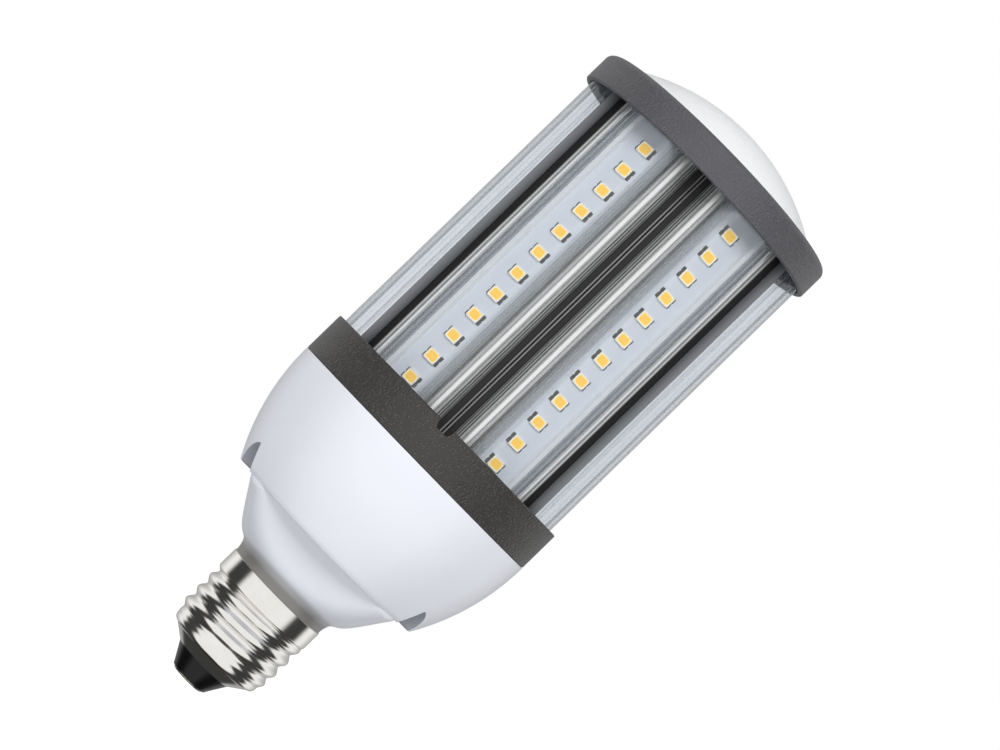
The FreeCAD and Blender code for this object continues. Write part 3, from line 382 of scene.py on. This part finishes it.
def opal_polycarbonate():
    """Dome: polycarbonate with a white diffuser in it. Light goes a little way in, so its shades are
    soft."""
    made, tree, place, shader = new_finish("moulded opal polycarbonate", IOR=1.585,
                                           Specular_IOR_Level=0.3, Subsurface_Weight=0.35,
                                           Subsurface_Scale=2.0 * MM, Subsurface_Radius=(1.0, 0.95, 0.9))
    cloud = node(tree, "ShaderNodeTexNoise", {"Vector": place, "Scale": per_mm(11.0), "Detail": 2.0})
    colour = node(tree, "ShaderNodeMix", {0: cloud, 6: linear("#f6f8fa"), 7: linear("#fbfcfd")},
                  data_type="RGBA")
    gloss = node(tree, "ShaderNodeMapRange", {"Value": cloud, "To Min": 0.22, "To Max": 0.32})
    connect(tree, shader, {"Base Color": colour, "Roughness": gloss})
    return made


def tinned_metal(name, dark, light, rough_low, rough_high):
    """Contact, solder and screws: metal with a tin or zinc coat. Soft grey shine with a crystal
    mottle."""
    made, tree, place, shader = new_finish(name, Metallic=1.0)
    spangle = node(tree, "ShaderNodeTexVoronoi", {"Vector": place, "Scale": per_mm(0.5)})
    fine = node(tree, "ShaderNodeTexNoise", {"Vector": place, "Scale": per_mm(0.15), "Detail": 3.0})
    colour = node(tree, "ShaderNodeMix", {0: spangle, 6: linear(dark), 7: linear(light)},
                  data_type="RGBA")
    gloss = node(tree, "ShaderNodeMapRange", {"Value": fine, "To Min": rough_low, "To Max": rough_high})
    bump = node(tree, "ShaderNodeBump", {"Height": fine, "Strength": 0.1, "Distance": 0.02 * MM})
    connect(tree, shader, {"Base Color": colour, "Roughness": gloss, "Normal": bump})
    return made


def driver_finish(name, dark, light, size_mm, rough):
    """Parts inside the housing: sleeve, tape, enamelled wire, laminate. Satin, with a mottle of the
    part's own size."""
    made, tree, place, shader = new_finish(name, Roughness=rough)
    mottle = node(tree, "ShaderNodeTexNoise",
                  {"Vector": place, "Scale": per_mm(size_mm), "Detail": 3.0})
    colour = node(tree, "ShaderNodeMix", {0: mottle, 6: linear(dark), 7: linear(light)},
                  data_type="RGBA")
    bump = node(tree, "ShaderNodeBump", {"Height": mottle, "Strength": 0.2, "Distance": 0.05 * MM})
    connect(tree, shader, {"Base Color": colour, "Normal": bump})
    return made


FINISHES = {
    "contact_metal": tinned_metal("tinned brass", "#8d8a80", "#b5b2a8", 0.25, 0.4),
    "insulator_black": pressed_glass_black(),
    "nickel_shell": plated_nickel(),
    "housing_white": moulded_polycarbonate(),
    "driver_board": driver_finish("glass laminate green", "#1f5f38", "#2c7a48", 2.0, 0.4),
    "driver_black": driver_finish("shrink sleeve black", "#141416", "#222225", 1.0, 0.45),
    "driver_yellow": driver_finish("polyester tape yellow", "#b8901c", "#d6ad34", 1.5, 0.35),
    "driver_copper": driver_finish("enamelled copper wire", "#8a4a22", "#b8703c", 0.4, 0.3),
    "lead_red": driver_finish("pvc sleeve red", "#8c1712", "#a8251d", 1.0, 0.45),
    "lead_blue": driver_finish("pvc sleeve blue", "#16276e", "#22378c", 1.0, 0.45),
    "ring_grey": grained_nylon("grained nylon warm grey", "#302e2c", "#3d3b39"),
    "core_black": black_anodised_aluminium(),
    "cap_grey": grained_nylon("grained nylon cool grey", "#4c4c50", "#5e5e62"),
    "dome_white": opal_polycarbonate(),
    "screw_steel": tinned_metal("zinc plated steel", "#8e9093", "#b9bbbe", 0.25, 0.4),
    "rail_silver": bright_cut_aluminium(),
    "board_white": solder_mask_white(),
    "led_white": moulded_polyamide_cup(),
    "led_phosphor": phosphor_silicone(),
    "cover_clear": clear_polycarbonate(),
}
# The tin solder is painted near black, as a painted reflection of the dark gap beside the LEDs.
SOLDER_PAINTED_DARK = tinned_metal("reflowed tin solder", "#2b2a28", "#55534e", 0.2, 0.35)
SLOT_OF_NODE = {part["node"]: part["material_slot"] for part in frame["record"]["subparts"]}


def dress_cad_nodes():
    for name, obj in frame["nodes"].items():
        obj.data.materials.clear()
        obj.data.materials.append(FINISHES[SLOT_OF_NODE[name]])


def new_piece(name, points, faces, slot, nodes=(), finish=None, mark=None):
    """A mesh piece on the bulb from whole arrays of points and faces, smooth but for its sharp edges.
    The mark is a number for each point that its finish reads."""
    mesh = bpy.data.meshes.new(name)
    mesh.from_pydata(points, [], sum([group.tolist() for group in faces], []))
    mesh.polygons.foreach_set("use_smooth", np.ones(len(mesh.polygons), dtype=bool))
    mesh.set_sharp_from_angle(angle=SHARP_EDGE)
    if mark is not None:
        values = mark.astype(np.float32).ravel()
        mesh.attributes.new("mark", "FLOAT", "POINT").data.foreach_set("value", values)
    mesh.materials.append(finish or FINISHES[slot])
    mesh.update()
    piece = bpy.data.objects.new(name, mesh)
    bpy.context.scene.collection.objects.link(piece)
    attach(piece, "root")
    if nodes:
        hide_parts(*nodes)
    return piece


def band_quads(rows, columns, closed_rows):
    """Quads of a grid whose columns run round and close; closed_rows also joins the last row to the
    first."""
    row = np.arange(rows if closed_rows else rows - 1)[:, None]
    column = np.arange(columns)[None, :]
    after = (row + 1) % rows
    beside = (column + 1) % columns
    corners = (row * columns + column, row * columns + beside,
               after * columns + beside, after * columns + column)
    return np.stack(corners, axis=-1).reshape(-1, 4)


def ease(low, high, value):
    """Smooth step from 0 at low to 1 at high: three squares less two cubes of the share between them."""
    share = np.clip((value - low) / (high - low), 0.0, 1.0)
    return share * share * (3 - 2 * share)


def turned_piece(name, radius, height, angle, slot, node_name, mark=None):
    """A closed surface from radius and height, given for each row of its section and each angle round
    the axis."""
    points = np.stack([radius * np.cos(angle), radius * np.sin(angle), height], axis=-1).reshape(-1, 3)
    return new_piece(name, points * MM, [band_quads(*radius.shape, True)], slot, [node_name], mark=mark)


def screw_shell():
    """Rolled shell. Its section is carried round the axis by the angle; on the threaded stretch the
    radius is root + depth * (half plus half the cosine of the phase) to a power, and the phase is
    height less one pitch a turn."""
    low, high = (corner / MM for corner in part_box("screw_shell"))
    collar_r, top = high.x, high.z
    root_r, depth, pitch, crest_power = 12.1, 1.0, 3.63, 0.8
    bore_r, lip_r = root_r - 0.6, 7.4
    roll_out, cone_rise, roll_rise = 1.0, 2.7, 1.3
    cone_r, roll_low = root_r - roll_out, low.z + cone_rise
    wall_low, collar_low = roll_low + roll_rise, top - 4.6
    ridge_start = low.z + 3.785
    lead_in, run_out = 2.6, 1.3
    top_edge = 0.15
    lip_thick, seat_in, seat_rise, bore_rise = 0.65, 1.1, 3.85, 4.93
    angle = np.linspace(0.0, 2 * np.pi, 240, endpoint=False)

    sweep = np.linspace(0.0, 1.0, 10)
    cone = np.stack([lip_r + (cone_r - lip_r) * sweep, low.z + cone_rise * sweep], axis=1)
    bend = np.linspace(0.0, np.pi / 2, 10)[1:]
    roll = np.stack([cone_r + roll_out * np.sin(bend), roll_low + roll_rise * (1 - np.cos(bend))], axis=1)
    wall_z = np.linspace(wall_low, collar_low, 160)[1:]
    wall = np.stack([np.full_like(wall_z, root_r), wall_z], axis=1)
    collar_z = np.linspace(collar_low, top - top_edge, 8)[1:]
    collar = np.stack([np.full_like(collar_z, collar_r), collar_z], axis=1)
    inside = np.array([[collar_r - top_edge, top], [bore_r, top], [bore_r, low.z + bore_rise],
                       [bore_r - seat_in, low.z + seat_rise], [lip_r, low.z + lip_thick]])
    section = np.concatenate([cone, roll, wall, collar, inside])
    radius = np.repeat(section[:, :1], len(angle), axis=1)
    height = np.repeat(section[:, 1:], len(angle), axis=1)

    first = len(cone) + len(roll)
    rows = slice(first, first + len(wall))
    phase = (height[rows] - ridge_start) / pitch - (angle - np.pi) / (2 * np.pi)
    wave = (0.5 + 0.5 * np.cos(2 * np.pi * phase)) ** crest_power
    thread = root_r + depth * wave * ease(wall_low, wall_low + lead_in, height[rows])
    blend = ease(collar_low - run_out, collar_low, height[rows])
    radius[rows] = thread * (1 - blend) + collar_r * blend
    turned_piece("rolled_shell", radius, height, angle, "nickel_shell", "screw_shell")


def driver_housing():
    """Moulded housing. Under the lip the radius is the soft least of a bell and four flat grip faces:
    their inverses to the tenth power are added, and the tenth root of the sum is inverted. It is then
    evened out along the axis by a bell-shaped weight, which rounds the corner at the neck. Over the
    lip the bowl is an arc, cut back to a flat face inside the side notches."""
    low, high = (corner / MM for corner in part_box("driver_housing"))
    mouth_r, mouth_z = min(high.x, high.y, -low.x, -low.y), high.z
    bowl_len, bowl_taper = 27.5, 7.3
    lip_z, lip_r = mouth_z - bowl_len, mouth_r - bowl_taper
    bell_z, bell_r, bell_over, bell_swell = lip_z - 11.3, 14.2, 1.8, 2.5
    neck_z, neck_r, neck_flare = lip_z - 14.6, 12.9, 0.9
    grip_foot, side_depth, front_depth = 16.15, 3.95, 6.4
    least_power, evening = 10.0, 0.55
    tab_angle, notch_angle = math.radians(13.2), math.radians(31.0)
    notch_rise, notch_least, notch_face = 5.7, 0.35, 16.5
    # Close angles on both sides of each notch wall keep it upright and its mark sharp.
    wall_gaps = np.array([-0.006, -0.002, 0.002, 0.006])
    mark_margin = 0.004
    wall_edges = np.array([tab_angle, notch_angle, np.pi - notch_angle, np.pi - tab_angle])
    wall_edges = (wall_edges[:, None] + wall_gaps).ravel()
    even = np.linspace(-np.pi, np.pi, 300, endpoint=False)
    angle = np.unique(np.concatenate([even, wall_edges, -wall_edges]))
    beside = np.abs((angle + np.pi / 2) % np.pi - np.pi / 2)
    in_notch = (beside > tab_angle) & (beside < notch_angle)

    bell_h = np.linspace(neck_z, lip_z, 90)[:, None]
    neck = neck_r + neck_flare * np.clip((bell_h - neck_z) / (bell_z - neck_z), 0.0, 1.0) ** 2
    share = np.clip((bell_h - bell_z) / (lip_z - bell_z), 0.0, 1.0)
    circle = bell_r + (lip_r + bell_over - bell_r) * share ** 0.7 + bell_swell * share ** 4
    side_face = grip_foot + (lip_r - side_depth - grip_foot) * share
    front_face = grip_foot + (lip_r - front_depth - grip_foot) * share
    least = (circle ** -least_power + (np.abs(np.sin(angle)) / front_face) ** least_power
             + (np.abs(np.cos(angle)) / side_face) ** least_power)
    bell = np.where(bell_h < bell_z, neck, np.minimum(least ** (-1 / least_power), lip_r))
    weight = np.exp(-((bell_h - bell_h.T) / evening) ** 2)
    bell = weight @ bell / weight.sum(axis=1, keepdims=True)

    # The lip's edge is rounded by 0.3 mm where it stands out from the bell by 0.6 mm or more.
    stands_out = np.clip((lip_r - bell[-1]) / 0.6, 0.0, 1.0)
    lip_in = np.array([0.3, 0.09, 0.0])[:, None] * stands_out
    lip_h = lip_z + np.array([0.0, 0.06, 0.3])[:, None] + 0 * angle
    along = np.clip((beside - tab_angle) / (notch_angle - tab_angle), 0.0, 1.0)
    rise = notch_rise * (1 - (1 - along) ** 1.5) + notch_least
    notch_h = lip_z + rise * np.linspace(0.0, 1.0, 10)[:, None]
    # A close row over the notches keeps their mark from spreading up the bowl.
    bowl_share = np.concatenate([[0.0, 0.004], np.linspace(0.02, 1.0, 49)])[:, None]
    bowl_h = lip_z + rise + (mouth_z - lip_z - rise) * bowl_share
    arc_r = (bowl_len ** 2 + bowl_taper ** 2) / (2 * bowl_taper)

    def bowl(level):
        return mouth_r - arc_r + np.sqrt(arc_r ** 2 - (mouth_z - level) ** 2)

    cut_face = notch_face / np.cos(beside)
    lip = np.where(in_notch, np.minimum(cut_face, bell[-1]), bowl(lip_h) - lip_in)
    notch = np.where(in_notch, cut_face, bowl(notch_h))
    notch[0] = np.where(in_notch, lip[-1], notch[0])
    notch_h[0] = lip_h[-1]
    # Inside, from the mouth down: the ring's seat, the driver's space and its ledge, the funnel, the
    # neck's bore.
    ledge_z = lip_z + 7.2
    inside = np.array([[31.9, mouth_z], [31.9, mouth_z - 3.0], [28.4, mouth_z - 17.5], [28.4, ledge_z],
                       [13.5, ledge_z], [13.0, lip_z], [11.2, bell_z + 1.5], [9.3, neck_z + 1.9],
                       [9.3, neck_z]])
    levels = (bell_h, lip_h, notch_h, bowl_h, inside[:, 1:])
    radius = np.concatenate([bell, lip, notch, bowl(bowl_h), inside[:, :1] + 0 * angle])
    height = np.concatenate([level + 0 * angle for level in levels])
    mark = np.zeros_like(radius)
    cut_rows = slice(len(bell), len(bell) + len(lip) + len(notch) + 1)
    mark[cut_rows] = (beside > tab_angle - mark_margin) & (beside < notch_angle + mark_margin)
    turned_piece("housing_shell", radius, height, angle, "housing_white", "driver_housing", mark)


def rounded_outline(half_w, half_t, corner, steps):
    """Rounded rectangle: four quarter circles at the corners of a smaller rectangle, taken in turn."""
    turn = np.linspace(0.0, np.pi / 2, steps)
    quarter = np.concatenate([turn + k * np.pi / 2 for k in range(4)])
    sign_w = np.repeat([1, -1, -1, 1], steps)
    sign_t = np.repeat([1, 1, -1, -1], steps)
    w = sign_w * (half_w - corner) + corner * np.cos(quarter)
    t = sign_t * (half_t - corner) + corner * np.sin(quarter)
    return w, t


def panel_place(panel, w, d, z):
    """Turns panel coordinates (across, outwards, up) to the part's: panel 3 faces +X and the next is
    60 degrees on."""
    out = math.radians(180 + 60 * panel)
    x = d * math.cos(out) + w * math.sin(out)
    y = d * math.sin(out) - w * math.cos(out)
    return np.stack([x, y, z], axis=-1)


pack_low, pack_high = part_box("led_packages_3")
LED_HALF_W = (pack_high.y - pack_low.y) / 2
LED_HALF_T = 1.4 * MM
LED_LEAST_CORNER = 0.06 * MM
BOARD_FACE = pack_low.x
LED_Z = np.linspace(pack_low.z + LED_HALF_T, pack_high.z - LED_HALF_T, LED_COUNT)


def stacked_rings(panel, insets, heights, corner, steps):
    """Rings of a rounded rectangle, drawn in by each inset and lifted by each height, repeated for
    every LED."""
    corners = np.maximum(corner - 0.5 * insets, LED_LEAST_CORNER)
    rings = [rounded_outline(LED_HALF_W - i, LED_HALF_T - i, c, steps) for i, c in zip(insets, corners)]
    w = np.stack([ring[0] for ring in rings])
    t = np.stack([ring[1] for ring in rings])
    d = BOARD_FACE + np.repeat(np.asarray(heights)[:, None], w.shape[1], axis=1)
    z = LED_Z[:, None, None] + t[None]
    w = np.broadcast_to(w, z.shape)
    d = np.broadcast_to(d, z.shape)
    return panel_place(panel, w, d, z)


def capped_rings(rings):
    """Points and faces of closed bodies: the bands between rings, and a fan from each end ring to its
    own centre."""
    count, rows, columns = rings.shape[:3]
    ends = np.stack([rings[:, 0].mean(axis=1), rings[:, -1].mean(axis=1)], axis=1)
    points = np.concatenate([rings.reshape(count, -1, 3), ends], axis=1)
    size = points.shape[1]
    offset = (np.arange(count) * size)[:, None, None]
    quads = (band_quads(rows, columns, False)[None] + offset).reshape(-1, 4)
    column = np.arange(columns)
    beside = (column + 1) % columns
    last = (rows - 1) * columns
    first_fan = np.stack([beside, column, np.full_like(column, size - 2)], axis=-1)
    last_fan = np.stack([last + column, last + beside, np.full_like(column, size - 1)], axis=-1)
    fans = (np.concatenate([first_fan, last_fan])[None] + offset).reshape(-1, 3)
    return points.reshape(-1, 3), [quads, fans]


def led_packages(panel):
    """LED cups: a wall, a rounded rim and a wall down into the cup, as rings drawn in and lifted from
    the board."""
    insets = np.array([0.0, 0.0, 0.06, 0.22, 0.28]) * MM
    heights = np.array([0.0, 0.54, 0.60, 0.60, 0.40]) * MM
    points, faces = capped_rings(stacked_rings(panel, insets, heights, 0.25 * MM, 2))
    new_piece("led_cups_%d" % panel, points, faces, "led_white", ["led_packages_%d" % panel])


def led_emitters(panel):
    """Silicone fill: rings from the cup's wall to its middle, with a height that dips by a parabola to
    the centre. The mark is 1 at the rim and falls to 0 there."""
    share = np.array([1.0, 0.75, 0.1])
    insets = 0.235 * MM * share + (1 - share) * LED_HALF_T * 0.95
    insets = np.concatenate([[0.26 * MM], insets])
    heights = np.concatenate([[0.38 * MM], 0.52 * MM + 0.05 * MM * share ** 2])
    rim = np.concatenate([[1.0], share])
    rings = stacked_rings(panel, insets, heights, 0.7 * MM, 3)
    columns = rings.shape[2]
    points, faces = capped_rings(rings)
    edge = np.concatenate([np.repeat(rim, columns), [1.0, 0.0]])
    new_piece("led_silicone_%d" % panel, points, faces, "led_phosphor", ["led_emitters_%d" % panel],
              mark=np.tile(edge, LED_COUNT))


def solder_joints(panel):
    """Solder at both ends of each LED: a hollow fillet's section, carried along Z between two closed
    ends."""
    reach = np.array([0.0, 0.10, 0.28, 0.48, 0.62, 0.62, 0.0]) * MM
    rise = np.array([0.50, 0.40, 0.24, 0.12, 0.05, 0.0, 0.0]) * MM
    half = np.array([-1.36, -1.26, -0.30, -0.14, 0.14, 0.30, 1.26, 1.36]) * MM
    swell = np.array([0.4, 1.0, 1.0, 0.75, 0.75, 1.0, 1.0, 0.4])
    sides = np.array([1.0, -1.0])
    w = sides[:, None, None, None] * (LED_HALF_W + swell[None, None, :, None] * reach)
    d = BOARD_FACE + swell[None, None, :, None] * rise
    z = LED_Z[None, :, None, None] + half[None, None, :, None]
    w, d, z = np.broadcast_arrays(w, d, z)
    rings = panel_place(panel, w, d, z)
    rings[1] = rings[1, :, ::-1]
    points, faces = capped_rings(rings.reshape(-1, *rings.shape[2:]))
    new_piece("solder_joints_%d" % panel, points, faces, "contact_metal", finish=SOLDER_PAINTED_DARK)


FLOOR_HALF = 4.0
FLOOR_DROP = 0.25
FLOOR_GLOW = 0.62
WHITE = (1.0, 1.0, 1.0, 1.0)


def build_stage():
    """Pale floor far below, seen white where it is lit, and shaded where the bulb stands in its
    light."""
    level = cad_low.z - FLOOR_DROP
    corners = [(x * FLOOR_HALF, y * FLOOR_HALF, level) for x, y in ((-1, -1), (1, -1), (1, 1), (-1, 1))]
    mesh = bpy.data.meshes.new("floor")
    mesh.from_pydata(corners, [], [(0, 1, 2, 3)])
    floor = bpy.data.objects.new("floor", mesh)
    bpy.context.scene.collection.objects.link(floor)
    paint = bpy.data.materials.new("studio floor white")
    paint.use_nodes = True
    tree = paint.node_tree
    tree.nodes.clear()
    path = node(tree, "ShaderNodeLightPath").outputs
    seen = node(tree, "ShaderNodeMath", {0: path["Is Camera Ray"], 1: path["Is Transmission Ray"]},
                operation="MAXIMUM")
    glow = node(tree, "ShaderNodeMath", {0: seen, 1: FLOOR_GLOW}, operation="MULTIPLY")
    lit = node(tree, "ShaderNodeBsdfDiffuse", {"Color": linear("#e6e6e6")})
    white = node(tree, "ShaderNodeEmission", {"Color": WHITE, "Strength": glow})
    both = node(tree, "ShaderNodeAddShader", {0: lit, 1: white})
    node(tree, "ShaderNodeOutputMaterial", {"Surface": both})
    mesh.materials.append(paint)
    floor.visible_glossy = False


SOFT_LIGHT = 0.58
CARD_SHADE = 0.05


def build_world():
    """White studio. Polished metal also sees two black cards beside the front light, dark poles, the
    dark below the bulb and a wall behind that darkens towards its middle."""
    world = bpy.data.worlds.new("studio")
    world.use_nodes = True
    bpy.context.scene.world = world
    tree = world.node_tree
    tree.nodes.clear()
    path = node(tree, "ShaderNodeLightPath").outputs
    way = node(tree, "ShaderNodeTexCoord").outputs["Generated"]
    flat = node(tree, "ShaderNodeVectorMath", {0: way, 1: (1.0, 1.0, 0.0)}, operation="MULTIPLY")
    level = node(tree, "ShaderNodeVectorMath", {0: flat}, operation="NORMALIZE")
    depth = node(tree, "ShaderNodeSeparateXYZ", {0: level}).outputs["Y"]
    up = node(tree, "ShaderNodeSeparateXYZ", {0: way}).outputs["Z"]
    # The cards stand between 62 and 106 degrees from the front, so their soft edges are at the
    # cosines of those angles.
    front = node(tree, "ShaderNodeMapRange", {"Value": depth, "From Min": -0.58, "From Max": -0.36},
                 interpolation_type="SMOOTHSTEP")
    back = node(tree, "ShaderNodeMapRange", {"Value": depth, "From Min": 0.14, "From Max": 0.42},
                interpolation_type="SMOOTHSTEP")
    card = node(tree, "ShaderNodeMath", {0: front, 1: back}, operation="SUBTRACT")
    steep = node(tree, "ShaderNodeMath", {0: up}, operation="ABSOLUTE")
    pole = node(tree, "ShaderNodeMapRange", {"Value": steep, "From Min": 0.94, "From Max": 0.98},
                interpolation_type="SMOOTHSTEP")
    below = node(tree, "ShaderNodeMapRange", {"Value": up, "From Min": -0.45, "From Max": -0.62},
                 interpolation_type="SMOOTHSTEP")
    behind = node(tree, "ShaderNodeMath", {0: below, 1: front}, operation="MULTIPLY")
    poles = node(tree, "ShaderNodeMath", {0: pole, 1: behind}, operation="MAXIMUM")
    dark = node(tree, "ShaderNodeMath", {0: card, 1: poles}, operation="MAXIMUM")
    wall = node(tree, "ShaderNodeMapRange",
                {"Value": depth, "From Min": 0.6, "From Max": 0.97, "To Min": 1.0, "To Max": 0.42})
    seen = node(tree, "ShaderNodeMapRange", {"Value": dark, "To Min": wall, "To Max": CARD_SHADE})
    clear = node(tree, "ShaderNodeMath", {0: path["Is Camera Ray"], 1: path["Is Transmission Ray"]},
                 operation="MAXIMUM")
    glossy = node(tree, "ShaderNodeMix", {0: path["Is Glossy Ray"], 2: SOFT_LIGHT, 3: seen},
                  data_type="FLOAT")
    strength = node(tree, "ShaderNodeMix", {0: clear, 2: glossy, 3: 1.0}, data_type="FLOAT")
    shine = node(tree, "ShaderNodeBackground", {"Color": WHITE, "Strength": strength})
    node(tree, "ShaderNodeOutputWorld", {"Surface": shine})


ROLL = math.radians(44.15)
CAMERA_AT = Vector((0.0, -0.725, 0.077))
AIM = Vector((0.0, 0.0, 0.096))
FOCAL_PIXELS = 3284.0
PHOTO_WIDTH = 1000.0
SENSOR_MM = 36.0


def camera_axes():
    """Right, up and forward of the camera: level first, then rolled so that the bulb's axis leans to
    the upper right."""
    forward = (AIM - CAMERA_AT).normalized()
    level_right = forward.cross(Vector((0.0, 0.0, 1.0))).normalized()
    level_up = level_right.cross(forward)
    right = level_right * math.sin(ROLL) + level_up * math.cos(ROLL)
    up = level_up * math.sin(ROLL) - level_right * math.cos(ROLL)
    return right, up, forward


def build_camera():
    right, up, forward = camera_axes()
    data = bpy.data.cameras.new("camera")
    data.sensor_width = SENSOR_MM
    data.lens = FOCAL_PIXELS / PHOTO_WIDTH * SENSOR_MM
    data.clip_start = 0.01
    data.clip_end = 50.0
    camera = bpy.data.objects.new("camera", data)
    turn = Matrix((right, up, -forward)).transposed().to_4x4()
    camera.matrix_world = Matrix.Translation(CAMERA_AT) @ turn
    bpy.context.scene.collection.objects.link(camera)
    bpy.context.scene.camera = camera


def soft_box(name, offset, size, watts):
    """Square area light that faces the bulb, placed by its offset from the aim, in metres."""
    place = AIM + Vector(offset)
    data = bpy.data.lights.new(name, "AREA")
    data.size = size
    data.energy = watts
    lamp = bpy.data.objects.new(name, data)
    turn = (AIM - place).to_track_quat("-Z", "Y").to_matrix().to_4x4()
    lamp.matrix_world = Matrix.Translation(place) @ turn
    lamp.visible_camera = False
    lamp.visible_glossy = False
    bpy.context.scene.collection.objects.link(lamp)


dress_cad_nodes()
screw_shell()
driver_housing()
for panel in PANELS:
    led_packages(panel)
    led_emitters(panel)
    solder_joints(panel)
build_stage()
build_world()
build_camera()
soft_box("key_light", offset=(0.0, -0.84, 0.44), size=0.4, watts=5.1)
bpy.context.scene.view_settings.view_transform = "Standard"
